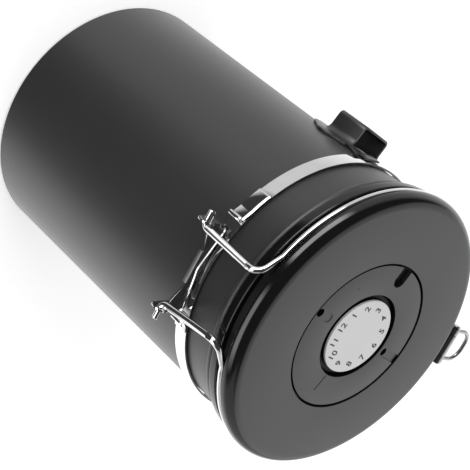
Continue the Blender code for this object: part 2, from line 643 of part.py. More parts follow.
def make_bail():
    # One wire: pin, arm, bend into the groove, round the back, and the same again mirrored.
    arm_top = WIRE_HEIGHT - ARM_TOP_BELOW_WIRE
    half = [front(PIN_TIP_SPREAD, PIN_REACH, PIN_HEIGHT), front(ARM_FOOT_SPREAD, PIN_REACH, PIN_HEIGHT),
            front(ARM_TOP_SPREAD, WIRE_RING_RADIUS + ARM_TOP_BEYOND_RING, arm_top),
            front(ARM_TOP_SPREAD, WIRE_RING_RADIUS + ARM_BEND_BEYOND_RING, WIRE_HEIGHT)]
    step = 2 * pi / TURN_STEPS
    ring_from = -pi / 2 + WIRE_LEAVES_GROOVE
    count = int((pi - WIRE_LEAVES_GROOVE) / step)
    first = pi / 2 - step / 2 - (count - 1) * step
    ring = [polar(WIRE_RING_RADIUS, ring_from, WIRE_HEIGHT)]
    ring += [polar(WIRE_RING_RADIUS, first + i * step, WIRE_HEIGHT) for i in range(count)]
    radii = [0, WIRE_FOOT_BEND, WIRE_TOP_BEND, WIRE_TOP_BEND, 0, 0]
    path = rounded(half + ring[:2], radii) + ring[2:]
    mirrored = [Vector((-p.x, p.y, p.z)) for p in path[::-1]]
    wire("bail_wire", path + mirrored, WIRE_RADIUS, polished_steel)


def make_lever():
    # The web: a bow-tie in plan, its inner edge close to the band.
    half = [(LIP_HALF_WIDTH, LEVER_OUTER_REACH_LIP), (EAR_MIDDLE - LEVER_KNEE_TO_EAR, LEVER_OUTER_REACH_SIDE),
            (EAR_MIDDLE, LEVER_OUTER_REACH_SIDE), (EAR_MIDDLE, LEVER_INNER_REACH_SIDE)]
    outline = half + [(0, LEVER_INNER_REACH_MIDDLE)] + [(-x, y) for x, y in half[::-1]]
    web_middle = WEB_TOP - LEVER_SHEET / 2
    web_place = at((0, 0, web_middle)) @ PLAN_FRONT
    lever = plate("latch_lever", [outline], LEVER_SHEET, web_place, polished_steel)
    # The lip: a short bend down.
    bend_at = LEVER_OUTER_REACH_LIP + LIP_PROUD
    path = [(LEVER_OUTER_REACH_LIP - LIP_BEND, web_middle), (bend_at, web_middle),
            (bend_at, web_middle - LIP_DROP)]
    lip_outline = strip(rounded(path, LIP_BEND), LIP_SHEET)
    lever = combine(lever, plate("lever_lip", [lip_outline], 2 * LIP_HALF_WIDTH, FRONT_SECTION), "UNION")
    # The ears: an eye round the pin, a tip below it and a flange down from the web.
    eye, tip = Vector((PIN_REACH, PIN_HEIGHT)), Vector((PIN_REACH + EAR_TIP_OUT, PIN_HEIGHT - EAR_TIP_DROP))
    lean = atan2((tip - eye).y, (tip - eye).x)
    spread = acos((EAR_EYE_RADIUS - EAR_TIP_RADIUS) / (tip - eye).length)
    ear_end, ear_top = LEVER_INNER_REACH_SIDE - EAR_PROUD, WEB_TOP + EAR_PROUD
    ear_bottom = WEB_TOP - EAR_ROOT_HEIGHT
    rise = atan2(tip.y - EAR_TIP_RADIUS - ear_bottom, tip.x - ear_end)
    ear = [(ear_end, ear_bottom), (ear_end, ear_top), (PIN_REACH - EAR_EYE_RADIUS, ear_top)]
    ear += arc(eye, EAR_EYE_RADIUS, EAR_NECK_ANGLE, lean + spread, 6)
    ear += arc(tip, EAR_TIP_RADIUS, lean + spread, rise - pi / 2, 6)
    for side in (1, -1):
        place = FRONT_SECTION.copy()
        place.translation.x = side * EAR_MIDDLE
        lever = combine(lever, plate(f"ear_{side}", [ear], LEVER_SHEET, place), "UNION")
    bore_place = at(front(0, PIN_REACH, PIN_HEIGHT), ALONG_X)
    bore = rod("ear_bore", EAR_BORE_RADIUS, 2 * PIN_TIP_SPREAD, bore_place, sides=16)
    combine(lever, bore, "DIFFERENCE")


def make_rear_bracket():
    # A strap from the band up to a knuckle rolled round the hinge pin.
    lie = BAND_OUTER + SEAT_GAP + HINGE_SHEET / 2
    leg = HINGE_REACH - HINGE_ROLL_RADIUS
    path = [(lie, BAND_BOTTOM), (lie, BAND_TOP), (leg, BAND_TOP + BRACKET_KNEE_ABOVE_BAND)]
    path += arc((HINGE_REACH, HINGE_HEIGHT), HINGE_ROLL_RADIUS, pi, -KNUCKLE_END, 12)
    outline = strip(path, HINGE_SHEET)
    bracket = plate("rear_bracket", [outline], 2 * HINGE_HALF_WIDTH, REAR_SECTION, polished_steel)
    window_bottom = HINGE_HEIGHT - HINGE_EYE_OUTER - WINDOW_TO_STRAP_GAP
    size = (2 * WINDOW_HALF_WIDTH, 4 * HINGE_ROLL_RADIUS, 2 * OVERRUN)
    window = block("bracket_window", size, at((0, HINGE_REACH, window_bottom + OVERRUN)))
    combine(bracket, window, "DIFFERENCE")


def make_hinge_strap():
    # A link with an eye round the bail wire and an eye round the hinge pin.
    wire_eye = Vector((WIRE_RING_RADIUS * cos(pi / TURN_STEPS), WIRE_HEIGHT))
    pin_eye = Vector((HINGE_REACH, HINGE_HEIGHT))
    link = pin_eye - wire_eye
    lean = atan2(link.y, link.x)
    near = asin(HINGE_SHEET / STRAP_EYE_OUTER)
    far = asin(HINGE_SHEET / HINGE_EYE_OUTER)
    outline = arc(wire_eye, STRAP_EYE_OUTER, lean + near, lean + 2 * pi - near, 16)
    outline += arc(pin_eye, HINGE_EYE_OUTER, lean - pi + far, lean + pi - far, 16)
    outlines = [outline, circle(wire_eye, STRAP_EYE_RADIUS), circle(pin_eye, HINGE_BORE_RADIUS)]
    plate("lid_hinge_strap", outlines, 2 * HINGE_STRAP_HALF_WIDTH, REAR_SECTION, polished_steel)


def make_hinge_pin():
    length = HINGE_HALF_WIDTH + SEAT_GAP
    tip = length + PIN_HEAD_LENGTH
    head = HINGE_PIN_RADIUS + PIN_HEAD_PROUD
    profile = [(0, tip), (head, tip), (head, length), (HINGE_PIN_RADIUS, length),
               (HINGE_PIN_RADIUS, -length), (head, -length), (head, -tip), (0, -tip)]
    pin = turned("hinge_pin", profile, polished_steel)
    pin.matrix_world = at((0, HINGE_REACH, HINGE_HEIGHT), ALONG_X)


def make_hinge_loop():
    start = HINGE_REACH + HINGE_EYE_OUTER + SEAT_GAP
    end = HINGE_REACH + LOOP_LENGTH
    spots = [(LOOP_HALF_WIDTH, start, HINGE_HEIGHT), (LOOP_HALF_WIDTH, end, HINGE_HEIGHT),
             (-LOOP_HALF_WIDTH, end, HINGE_HEIGHT), (-LOOP_HALF_WIDTH, start, HINGE_HEIGHT)]
    wire("hinge_loop", rounded(spots, LOOP_CORNER_RADIUS, steps=7), LOOP_WIRE_RADIUS, polished_steel)


def vented(item, count, orbit, radius, height):
    for number in range(count):
        place = at(polar(orbit, 2 * pi * number / count, height))
        tool = rod(f"{item.name}_vent_{number}", radius, OVERRUN, place, sides=10)
        item = combine(item, tool, "DIFFERENCE")
    return item


def make_valve():
    flange_bottom = LID_FLOOR_TOP + SEAT_GAP
    flange_top = flange_bottom + VALVE_FLANGE_HEIGHT
    profile = [(0, SEAT_TOP), (VALVE_BORE, SEAT_TOP), (VALVE_BORE, flange_top),
               (VALVE_FLANGE_RADIUS, flange_top), (VALVE_FLANGE_RADIUS, flange_bottom),
               (VALVE_BODY_RADIUS, flange_bottom), (VALVE_BODY_RADIUS, FILTER_BOTTOM),
               (VALVE_BORE, FILTER_BOTTOM), (VALVE_BORE, SEAT_BOTTOM), (0, SEAT_BOTTOM)]
    housing = turned("valve_housing", profile, white_plastic)
    vented(housing, SEAT_VENTS, SEAT_VENT_ORBIT, SEAT_VENT_RADIUS, SEAT_TOP)
    disc("valve_flap", VALVE_BORE - FLAP_INSET, SEAT_TOP + SEAT_GAP, FLAP_THICKNESS, silicone)
    cap_bottom = flange_top + SEAT_GAP
    cap_radius = VALVE_FLANGE_RADIUS - VALVE_CAP_INSET
    cap = disc("valve_cap", cap_radius, cap_bottom, VALVE_CAP_THICKNESS, white_plastic)
    vented(cap, SEAT_VENTS, SEAT_VENT_ORBIT, SEAT_VENT_RADIUS, cap_bottom)
    disc("valve_filter", VALVE_BORE - RUN_GAP, FILTER_BOTTOM, FILTER_THICKNESS, filter_felt)
    grille_bottom = FILTER_BOTTOM - SEAT_GAP - GRILLE_THICKNESS
    grille = disc("filter_grille", VALVE_BODY_RADIUS, grille_bottom, GRILLE_THICKNESS, white_plastic)
    vented(grille, GRILLE_VENTS, GRILLE_VENT_ORBIT, GRILLE_VENT_RADIUS, grille_bottom)


def hang_on(empty_name, place, names, parent=None):
    # A moving body: an empty on the joint's axis, with its pieces as children.
    empty = bpy.data.objects.new(empty_name, None)
    canister.objects.link(empty)
    empty.location = place
    bpy.context.view_layer.update()
    pieces = [bpy.data.objects[name] for name in names]
    if parent:
        empty_place = empty.matrix_world.copy()
        empty.parent = parent
        empty.matrix_world = empty_place
        bpy.context.view_layer.update()
    for piece in pieces:
        place_now = piece.matrix_world.copy()
        piece.parent = empty
        piece.matrix_parent_inverse = empty.matrix_world.inverted()
        piece.matrix_world = place_now
    return empty


make_shell()
make_band()
make_band_end("band_end_left", -1)
make_band_end("band_end_right", 1)
make_scoop_holder()
make_rear_bracket()
make_hinge_pin()
make_hinge_loop()
make_lid_base()
make_lid_cap()
make_gasket()
make_hinge_strap()
make_bail()
make_label()
make_valve()
make_month_ring()
make_lever()

lid_pieces = ["lid_base", "lid_cap", "lid_gasket", "lid_hinge_strap", "bail_wire", "label_disc",
              "valve_housing", "valve_cap", "valve_filter", "filter_grille"]
lid_hinge = hang_on("lid_hinge", (0, HINGE_REACH, HINGE_HEIGHT), lid_pieces)
hang_on("latch_hinge", front(0, PIN_REACH, PIN_HEIGHT), ["latch_lever"], lid_hinge)
hang_on("ring_axis", (0, 0, CAP_TOP), ["month_ring"], lid_hinge)
hang_on("flap_guide", (0, 0, SEAT_TOP), ["valve_flap"], lid_hinge)
bpy.context.view_layer.update()
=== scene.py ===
import json
from math import acos, asin, atan2, cos, degrees, pi, radians, sin, tan

import bmesh
import bpy
import numpy as np
from mathutils import Matrix, Vector

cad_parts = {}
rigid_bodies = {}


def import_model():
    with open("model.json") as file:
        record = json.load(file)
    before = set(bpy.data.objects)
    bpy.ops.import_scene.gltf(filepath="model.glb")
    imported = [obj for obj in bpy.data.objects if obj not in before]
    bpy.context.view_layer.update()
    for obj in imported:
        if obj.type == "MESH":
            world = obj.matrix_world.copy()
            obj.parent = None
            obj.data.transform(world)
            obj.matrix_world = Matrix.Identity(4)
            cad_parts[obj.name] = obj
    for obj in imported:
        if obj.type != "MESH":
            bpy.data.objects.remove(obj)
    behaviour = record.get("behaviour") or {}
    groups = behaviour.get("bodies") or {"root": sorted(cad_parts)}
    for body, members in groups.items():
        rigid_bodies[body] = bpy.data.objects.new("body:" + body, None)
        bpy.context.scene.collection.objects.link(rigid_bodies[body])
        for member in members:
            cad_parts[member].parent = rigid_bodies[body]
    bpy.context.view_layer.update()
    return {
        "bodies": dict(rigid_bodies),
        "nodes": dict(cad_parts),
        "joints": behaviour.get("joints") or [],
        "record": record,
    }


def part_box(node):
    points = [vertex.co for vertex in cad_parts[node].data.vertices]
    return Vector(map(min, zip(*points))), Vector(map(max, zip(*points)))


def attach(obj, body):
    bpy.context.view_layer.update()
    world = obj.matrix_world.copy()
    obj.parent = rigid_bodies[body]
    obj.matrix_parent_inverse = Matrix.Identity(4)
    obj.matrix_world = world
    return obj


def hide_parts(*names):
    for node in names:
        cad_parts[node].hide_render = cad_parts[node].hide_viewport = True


# Coffee canister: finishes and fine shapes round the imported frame.
# Sizes are in millimetres, and the helpers turn them into metres.
mm = 0.001
seatGap = 0.3  # between sheets that lie on one another
overrun = 5  # how far a cutting tool goes past what it cuts
weld = 0.002  # points nearer than this are joined
fineSteps = 256  # faces round the large turned shapes

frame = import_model()
print("frame loaded:", len(frame["nodes"]), "nodes")


def boxOf(node):
    low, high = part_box(node)
    return low / mm, high / mm


# The place where things stand: camera, floor, light

cameraSetup = {
    "aim": (1.7, 0.1, 103.6),
    "distance": 650,
    "azimuth": -19.37,
    "elevation": 38.1,
    "roll": 130.93,  # the photographed frame is turned on its side
    "lens": 113.19,
    "sensor": 36,
    "clipEnd": 50000,
}


def placeCamera(setup):
    azimuth, elevation, roll = (radians(setup[key]) for key in ("azimuth", "elevation", "roll"))
    back = Vector((sin(azimuth) * cos(elevation), -cos(azimuth) * cos(elevation), sin(elevation)))
    level = Vector((cos(azimuth), sin(azimuth), 0))
    above = back.cross(level)
    right = level * cos(roll) + above * sin(roll)
    up = back.cross(right)
    spot = (Vector(setup["aim"]) + back * setup["distance"]) * mm
    data = bpy.data.cameras.new("camera")
    data.lens = setup["lens"]
    data.sensor_width = setup["sensor"]
    data.clip_end = setup["clipEnd"] * mm
    camera = bpy.data.objects.new("camera", data)
    bpy.context.scene.collection.objects.link(camera)
    camera.matrix_world = Matrix.Translation(spot) @ Matrix((right, up, back)).transposed().to_4x4()
    bpy.context.scene.camera = camera


class Value:
    # One output of a node, so that shader maths is written as sums.
    def __init__(self, graph, socket):
        self.graph = graph
        self.socket = socket

    def maths(self, operation, first, second=None):
        inputs = [first] if second is None else [first, second]
        return self.graph.add("ShaderNodeMath", {"operation": operation}, inputs)[0]

    def __add__(self, other):
        return self.maths("ADD", self, other)

    def __radd__(self, other):
        return self.maths("ADD", other, self)

    def __sub__(self, other):
        return self.maths("SUBTRACT", self, other)

    def __rsub__(self, other):
        return self.maths("SUBTRACT", other, self)

    def __mul__(self, other):
        return self.maths("MULTIPLY", self, other)

    def __rmul__(self, other):
        return self.maths("MULTIPLY", other, self)

    def __truediv__(self, other):
        return self.maths("DIVIDE", self, other)

    def clamped(self, low=0.0, high=1.0):
        return self.maths("MINIMUM", self.maths("MAXIMUM", self, low), high)


class Outputs(list):
    # A node's outputs, by place or by name.
    def __getitem__(self, key):
        if isinstance(key, str):
            return next(value for value in self if value.socket.name == key)
        return list.__getitem__(self, key)


class Graph:
    # A node tree that is built one node at a time.
    def __init__(self, tree):
        self.tree = tree

    def add(self, kind, settings=None, inputs=None):
        node = self.tree.nodes.new(kind)
        for key, value in (settings or {}).items():
            setattr(node, key, value)
        return self.feed(node, inputs or {})

    def feed(self, node, inputs):
        # Inputs go in by place or by name, as links or as constants.
        for key, value in enumerate(inputs) if isinstance(inputs, list) else inputs.items():
            socket = node.inputs[key]
            if isinstance(value, Value):
                self.tree.links.new(value.socket, socket)
            else:
                socket.default_value = (*value, 1) if socket.type == "RGBA" else value
        return Outputs(Value(self, socket) for socket in node.outputs)


studio = {  # lamps in metres and watts
    "floorHalf": 6000,
    "floorDrop": 0.2,
    "floorColour": 0.86,
    "floorGlow": 0.42,
    "skyForDiffuse": 0.62,
    "keyPower": 9.0,
    "keySize": 0.9,
    "keyPlace": (-0.9, -0.5, 1.5),
    "fillPower": 4.0,
    "fillSize": 0.7,
    "fillPlace": (1.1, 0.5, 1.1),
    "lampAim": (0, 0, 0.1),
}

# What gloss and metal see: a soft ceiling behind, side lights and a low strip in front.
# Directions are degrees round from the latch (plus is +X) and degrees up; heights are sines.
softBoxes = {
    "unlit": 0.05,
    "ceilingAzimuth": 165,
    "ceilingElevation": 42,
    "ceilingInner": 36,
    "ceilingOuter": 46,
    "ceiling": 0.8,
    "panelStart": (62, 72),
    "panelHeight": (0.6, 0.8),
    "panel": 0.6,
    "rightRise": (50, 64),
    "rightHeight": (-0.4, -0.1),
    "right": 0.9,
    "leftRise": (53, 61),
    "leftFar": (110, 160),
    "leftHeight": (0.02, 0.3),
    "left": 0.74,
    "leftExtra": 0.48,
    "stripHeight": (-0.40, -0.32, 0.15, 0.24),
    "stripLeft": (-82, -70, -34, -24),
    "stripRight": (-8, 4, 40, 60),
    "stripLeftStrength": 6.5,
    "stripRightStrength": 3.4,
}


def seenRays(graph):
    path = graph.add("ShaderNodeLightPath")
    return path["Is Camera Ray"], path["Is Glossy Ray"], path["Is Transmission Ray"]


def makeFloor():
    mesh = bpy.data.meshes.new("floor")
    half = studio["floorHalf"] * mm
    corners = [(-half, -half, 0), (half, -half, 0), (half, half, 0), (-half, half, 0)]
    mesh.from_pydata(corners, [], [(0, 1, 2, 3)])
    floor = bpy.data.objects.new("floor", mesh)
    bpy.context.scene.collection.objects.link(floor)
    floor.location.z = -studio["floorDrop"] * mm
    paint = bpy.data.materials.new("floor_white")
    paint.use_nodes = True
    paint.node_tree.nodes.clear()
    graph = Graph(paint.node_tree)
    camera, glossy, through = seenRays(graph)
    matte = graph.add("ShaderNodeBsdfDiffuse", None, {"Color": (studio["floorColour"],) * 3})
    glow = graph.add("ShaderNodeEmission", None,
                     {"Color": (1, 1, 1), "Strength": (camera + through).clamped() * studio["floorGlow"]})
    both = graph.add("ShaderNodeAddShader", None, [matte[0], glow[0]])
    clear = graph.add("ShaderNodeBsdfTransparent")
    mixed = graph.add("ShaderNodeMixShader", None, [glossy, both[0], clear[0]])
    graph.add("ShaderNodeOutputMaterial", None, {"Surface": mixed[0]})
    mesh.materials.append(paint)


def aimed(azimuth, elevation=0.0):
    azimuth, elevation = radians(azimuth), radians(elevation)
    return (sin(azimuth) * cos(elevation), -cos(azimuth) * cos(elevation), sin(elevation))


def makeSky(s):
    world = bpy.data.worlds.new("studio")
    bpy.context.scene.world = world
    world.use_nodes = True
    world.node_tree.nodes.clear()
    graph = Graph(world.node_tree)

    def ramp(value, low, high):
        return ((value - low) / (high - low)).clamped()

    def hump(value, low, lowFull, highFull, high):
        return ramp(value, low, lowFull) * (1 - ramp(value, highFull, high))

    way = graph.add("ShaderNodeTexCoord")["Generated"]
    parts = graph.add("ShaderNodeSeparateXYZ", None, [way])
    height = parts["Z"]
    turn = parts["X"].maths("ARCTAN2", parts["X"], 0 - parts["Y"]) * degrees(1)
    upward = graph.add("ShaderNodeVectorMath", {"operation": "DOT_PRODUCT"},
                       [way, aimed(s["ceilingAzimuth"], s["ceilingElevation"])])["Value"]
    ceiling = ramp(upward, cos(radians(s["ceilingOuter"])), cos(radians(s["ceilingInner"])))
    panel = ramp(turn, *s["panelStart"]) * (1 - ramp(height, *s["panelHeight"]))
    right = ramp(turn, *s["rightRise"]) * (1 - ramp(height, *s["rightHeight"]))
    left = ramp(0 - turn, *s["leftRise"]) * s["left"] + ramp(0 - turn, *s["leftFar"]) * s["leftExtra"]
    left = left * (1 - ramp(height, *s["leftHeight"]))
    strip = hump(turn, *s["stripLeft"]) * s["stripLeftStrength"]
    strip = (strip + hump(turn, *s["stripRight"]) * s["stripRightStrength"]) * hump(height, *s["stripHeight"])
    boxes = s["unlit"] + ceiling * s["ceiling"] + panel * s["panel"] + right * s["right"] + left + strip
    camera, glossy, through = seenRays(graph)
    plain = studio["skyForDiffuse"] + (camera + through).clamped() * (1 - studio["skyForDiffuse"])
    strength = plain * (1 - glossy) + boxes * glossy
    sky = graph.add("ShaderNodeBackground", None, {"Color": (1, 1, 1), "Strength": strength})
    graph.add("ShaderNodeOutputWorld", None, {"Surface": sky[0]})


def makeLamp(name):
    data = bpy.data.lights.new(name, "AREA")
    data.energy = studio[name + "Power"]
    data.size = studio[name + "Size"]
    lamp = bpy.data.objects.new(name, data)
    bpy.context.scene.collection.objects.link(lamp)
    place = Vector(studio[name + "Place"])
    turn = (place - Vector(studio["lampAim"])).to_track_quat("Z", "Y").to_matrix().to_4x4()
    lamp.matrix_world = Matrix.Translation(place) @ turn
    lamp.visible_glossy = False


placeCamera(cameraSetup)
makeFloor()
makeSky(softBoxes)
makeLamp("key")
makeLamp("fill")
bpy.context.scene.view_settings.view_transform = "Standard"
print("stage ready")


# Finishes: patches are slow changes of colour and gloss, and the grain is a fine relief.
# Both are given as noise scale and detail. Fixed values go straight to the shader.

coatLook = {
    "colour": (0.028, 0.028, 0.0285),
    "patchColour": (0.031, 0.031, 0.0315),
    "roughness": 0.40,
    "roughnessVary": 0.06,
    "patch": (18, 3),
    "grain": (2600, 1),
    "grainHeight": 0.012,
}

plasticLook = {
    "colour": (0.0055, 0.0055, 0.006),
    "patchColour": (0.007, 0.007, 0.0074),
    "roughness": 0.12,
    "roughnessVary": 0.04,
    "patch": (35, 2),
    "grain": (900, 2),
    "grainHeight": 0.003,
}

# The flat top of the lid's cap is satin.
capTop = boxOf("lid_cap")[1].z
satinLook = {
    "above": capTop - 0.6,
    "fade": 0.25,
    "colour": (0.019, 0.019, 0.0195),
    "addedRoughness": 0.24,
}

steelLook = {
    "colour": (0.74, 0.74, 0.745),
    "patchColour": (0.69, 0.69, 0.695),
    "roughness": 0.06,
    "roughnessVary": 0.03,
    "patch": (220, 3),
    "grain": (2200, 2),
    "grainHeight": 0.0004,
    "fixed": {"Metallic": 1.0},
}

plainLook = {
    "roughnessVary": 0.08,
    "patch": (60, 3),
}


def noise(graph, place, scale, detail):
    return graph.add("ShaderNodeTexNoise", None, {"Vector": place, "Scale": scale, "Detail": detail})[0]


def mixColour(graph, amount, first, second):
    return graph.add("ShaderNodeMix", {"data_type": "RGBA"}, {0: amount, 6: first, 7: second})[2]


def makeFinish(name, base, satin=None, **changes):
    look = {**base, **changes}
    paint = bpy.data.materials.new(name)
    paint.use_nodes = True
    graph = Graph(paint.node_tree)
    place = graph.add("ShaderNodeTexCoord")["Object"]
    patchPlace = place
    if "drawn" in look:
        patchPlace = graph.add("ShaderNodeMapping", None, {"Vector": place, "Scale": look["drawn"]})[0]
    patches = noise(graph, patchPlace, *look["patch"])
    grain = noise(graph, patchPlace, *look["grain"])
    colour = mixColour(graph, patches, look["colour"], look["patchColour"])
    roughness = look["roughness"] + (patches - 0.5) * look["roughnessVary"]
    if satin:
        height = graph.add("ShaderNodeSeparateXYZ", None, [place])["Z"]
        top = ((height - satin["above"] * mm) / (satin["fade"] * mm)).clamped()
        roughness = roughness + top * satin["addedRoughness"]
        colour = mixColour(graph, top, colour, satin["colour"])
    relief = graph.add("ShaderNodeBump", None, {"Height": grain, "Distance": look["grainHeight"] * mm})[0]
    values = {"Base Color": colour, "Roughness": roughness, "Normal": relief, **look.get("fixed", {})}
    graph.feed(paint.node_tree.nodes["Principled BSDF"], values)
    return paint


blackCoat = makeFinish("black_coat", coatLook)
holderCoat = makeFinish("holder_coat", coatLook, roughness=0.34)
glossBlack = makeFinish("gloss_black", plasticLook, satinLook)
satinBlack = makeFinish("satin_black", plasticLook, colour=(0.017, 0.017, 0.0175),
                        patchColour=(0.02, 0.02, 0.0205), roughness=0.34)
# Near black with little reflection: painted shade for the grooves, wells and slots.
paintedShadeBlack = makeFinish("groove_black", plasticLook, colour=(0.003, 0.003, 0.003),
                         patchColour=(0.004, 0.004, 0.004), roughness=0.5,
                         fixed={"Specular IOR Level": 0.15})
polishedSteel = makeFinish("polished_steel", steelLook)
# Sheared steel edges are rougher; the darker colour is painted shade.
cutAndShadedSteel = makeFinish("cut_steel", steelLook, colour=(0.26, 0.26, 0.265), patchColour=(0.2, 0.2, 0.205),
                      roughness=0.45)
# Drawn steel for the hinge is less polished; the darker colour is painted shade.
drawnShadedSteel = makeFinish("drawn_steel", steelLook, colour=(0.42, 0.42, 0.425),
                        patchColour=(0.34, 0.34, 0.345), roughness=0.16)
insideSteel = makeFinish("inside_steel", steelLook, roughness=0.32, roughnessVary=0.12, drawn=(1, 1, 0.04))
labelGrey = makeFinish("label_grey", plainLook, colour=(0.62, 0.62, 0.62), patchColour=(0.58, 0.58, 0.58),
                       roughness=0.5, grain=(1800, 3), grainHeight=0.003)
inkGrey = makeFinish("ink_grey", plainLook, colour=(0.02, 0.02, 0.02), patchColour=(0.03, 0.03, 0.03),
                     roughness=0.55, grain=(1800, 3), grainHeight=0.002)
whitePlastic = makeFinish("white_plastic", plainLook, colour=(0.72, 0.72, 0.71),
                          patchColour=(0.68, 0.68, 0.67), roughness=0.42, grain=(900, 3), grainHeight=0.004)
filterFelt = makeFinish("filter_felt", plainLook, colour=(0.72, 0.70, 0.64), patchColour=(0.6, 0.58, 0.53),
                        roughness=0.95, grain=(700, 3), grainHeight=0.12)
silicone = makeFinish("silicone", plainLook, colour=(0.55, 0.55, 0.54), patchColour=(0.48, 0.48, 0.47),
                      roughness=0.5, grain=(1200, 3), grainHeight=0.005)
print("finishes ready")


# Mesh helpers

sharpAngle = 32
bevelAngle = 40


def newPiece(name, mesh, body, finishes, replaced=()):
    mesh.shade_smooth()
    mesh.set_sharp_from_angle(angle=radians(sharpAngle))
    for finish in finishes:
        mesh.materials.append(finish)
    piece = bpy.data.objects.new(name, mesh)
    bpy.context.scene.collection.objects.link(piece)
    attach(piece, body)
    if replaced:
        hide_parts(*replaced)


def paintFaces(mesh, pick):
    # pick gives the finish's number from a face's middle (in millimetres) and its direction.
    for face in mesh.polygons:
        face.material_index = int(pick(face.center / mm, face.normal))


def arc(centre, radius, start, end, steps):
    turn = (end - start) / steps
    return [(centre[0] + radius * cos(start + i * turn), centre[1] + radius * sin(start + i * turn))
            for i in range(steps + 1)]


def rounded(points, radii, closed=False, steps=6):
    # A path or outline with an arc at each corner whose radius isn't zero.
    spots = [Vector((*p, 0)) if len(p) == 2 else Vector(p) for p in points]
    count = len(spots)
    radii = list(radii) if isinstance(radii, (list, tuple)) else [radii] * count
    path = []
    for i, (spot, radius) in enumerate(zip(spots, radii)):
        if radius == 0 or (not closed and i in (0, count - 1)):
            path.append(spot)
            continue
        back = (spots[i - 1] - spot).normalized()
        ahead = (spots[(i + 1) % count] - spot).normalized()
        half = back.angle(ahead) / 2
        middle = spot + (back + ahead).normalized() * (radius / sin(half))
        first = spot + back * (radius / tan(half)) - middle
        last = spot + ahead * (radius / tan(half)) - middle
        sweep = first.angle(last)
        for k in range(steps + 1):
            share = k / steps
            path.append(middle + (first * sin((1 - share) * sweep) + last * sin(share * sweep)) / sin(sweep))
    return path


def roundedCorners(points, closed=False, steps=6):
    # The same from (radius, height, corner radius).
    return rounded([p[:2] for p in points], [p[2] for p in points], closed, steps)


def latheMesh(name, outline, closed=False, steps=192):
    # An outline of (radius, height) turned round Z. It runs down the outer side.
    verts, rings = [], []
    angles = np.arange(steps) * 2 * pi / steps
    for radius, height in [(p[0], p[1]) for p in outline]:
        if radius < 1e-6:
            rings.append([len(verts)])
            verts.append((0, 0, height * mm))
        else:
            rings.append(list(range(len(verts), len(verts) + steps)))
            verts += [(radius * mm * cos(a), radius * mm * sin(a), height * mm) for a in angles]
    faces = []
    pairs = list(zip(rings, rings[1:])) + ([(rings[-1], rings[0])] if closed else [])
    for upper, lower in pairs:
        for k in range(steps):
            n = (k + 1) % steps
            corners = [upper[k % len(upper)], lower[k % len(lower)],
                       lower[n % len(lower)], upper[n % len(upper)]]
            faces.append([c for i, c in enumerate(corners) if c not in corners[:i]])
    mesh = bpy.data.meshes.new(name)
    mesh.from_pydata(verts, [], faces)
    return mesh


def tubeMesh(name, path, radius, sides=20, tipRound=0.35, flats=()):
    # A round wire along a path. Each flat is (centre, direction, reach, depth): a pressed mark.
    spots = [Vector(p) for p in path]
    ends = [spots[0]] + spots + [spots[-1]]
    along = [(ahead - behind).normalized() for behind, ahead in zip(ends, ends[2:])]
    side = along[0].orthogonal().normalized()
    frames, previous = [], along[0]
    for direction in along:
        side = (previous.rotation_difference(direction) @ side).normalized()
        previous = direction
        frames.append((side, direction.cross(side)))
    sections = [(spots[0], frames[0], radius - tipRound),
                (spots[0] + along[0] * tipRound, frames[0], radius)]
    sections += [(spot, frame, radius) for spot, frame in zip(spots[1:-1], frames[1:-1])]
    sections += [(spots[-1] - along[-1] * tipRound, frames[-1], radius),
                 (spots[-1], frames[-1], radius - tipRound)]
    verts, faces = [], []
    for spot, (first, second), width in sections:
        for k in range(sides):
            turn = 2 * pi * k / sides
            offset = (first * cos(turn) + second * sin(turn)) * width
            for centre, push, reach, depth in flats:
                near = max(0.0, 1 - ((spot - centre).length / reach) ** 2)
                offset -= push * max(0.0, offset.dot(push) - (width - depth)) * near ** 0.5
            verts.append((spot + offset) * mm)
    for i in range(len(sections) - 1):
        for k in range(sides):
            n = (k + 1) % sides
            faces.append((i * sides + k, (i + 1) * sides + k, (i + 1) * sides + n, i * sides + n))
    faces.append(tuple(range(sides)))
    faces.append(tuple(range((len(sections) - 1) * sides, len(sections) * sides))[::-1])
    mesh = bpy.data.meshes.new(name)
    mesh.from_pydata(verts, [], [tuple(reversed(f)) for f in faces])
    return mesh


def stripOutline(path, thickness):
    # The outline of a bent sheet, from the path of its middle line.
    spots = [Vector(p).to_2d() for p in path]
    left, right = [], []
    for i, spot in enumerate(spots):
        back = (spot - spots[i - 1]).normalized() if i > 0 else None
        ahead = (spots[i + 1] - spot).normalized() if i < len(spots) - 1 else None
        along = ((back or ahead) + (ahead or back)).normalized()
        across = Vector((-along.y, along.x)) * (thickness / 2 / along.dot(ahead or back))
        left.append(spot + across)
        right.append(spot - across)
    return left + right[::-1]


def facing(xAxis, yAxis, origin=(0, 0, 0)):
    xAxis, yAxis = Vector(xAxis), Vector(yAxis)
    turn = Matrix((xAxis, yAxis, xAxis.cross(yAxis))).transposed().to_4x4()
    return Matrix.Translation(Vector(origin)) @ turn


frontSection = facing((0, -1, 0), (0, 0, 1))
rearSection = facing((0, 1, 0), (0, 0, 1))
planFront = facing((1, 0, 0), (0, -1, 0))


def tempObject(data):
    item = bpy.data.objects.new("work", data)
    bpy.context.scene.collection.objects.link(item)
    return item


def evaluated(item):
    bpy.context.view_layer.update()
    mesh = bpy.data.meshes.new_from_object(item.evaluated_get(bpy.context.evaluated_depsgraph_get()))
    old = item.data
    bpy.data.objects.remove(item, do_unlink=True)
    if old.users == 0:
        bpy.data.batch_remove([old])
    return mesh


def settled(mesh, place):
    # Moves a mesh by a matrix in millimetres.
    placed = place.copy()
    placed.translation *= mm
    mesh.transform(placed)
    return mesh


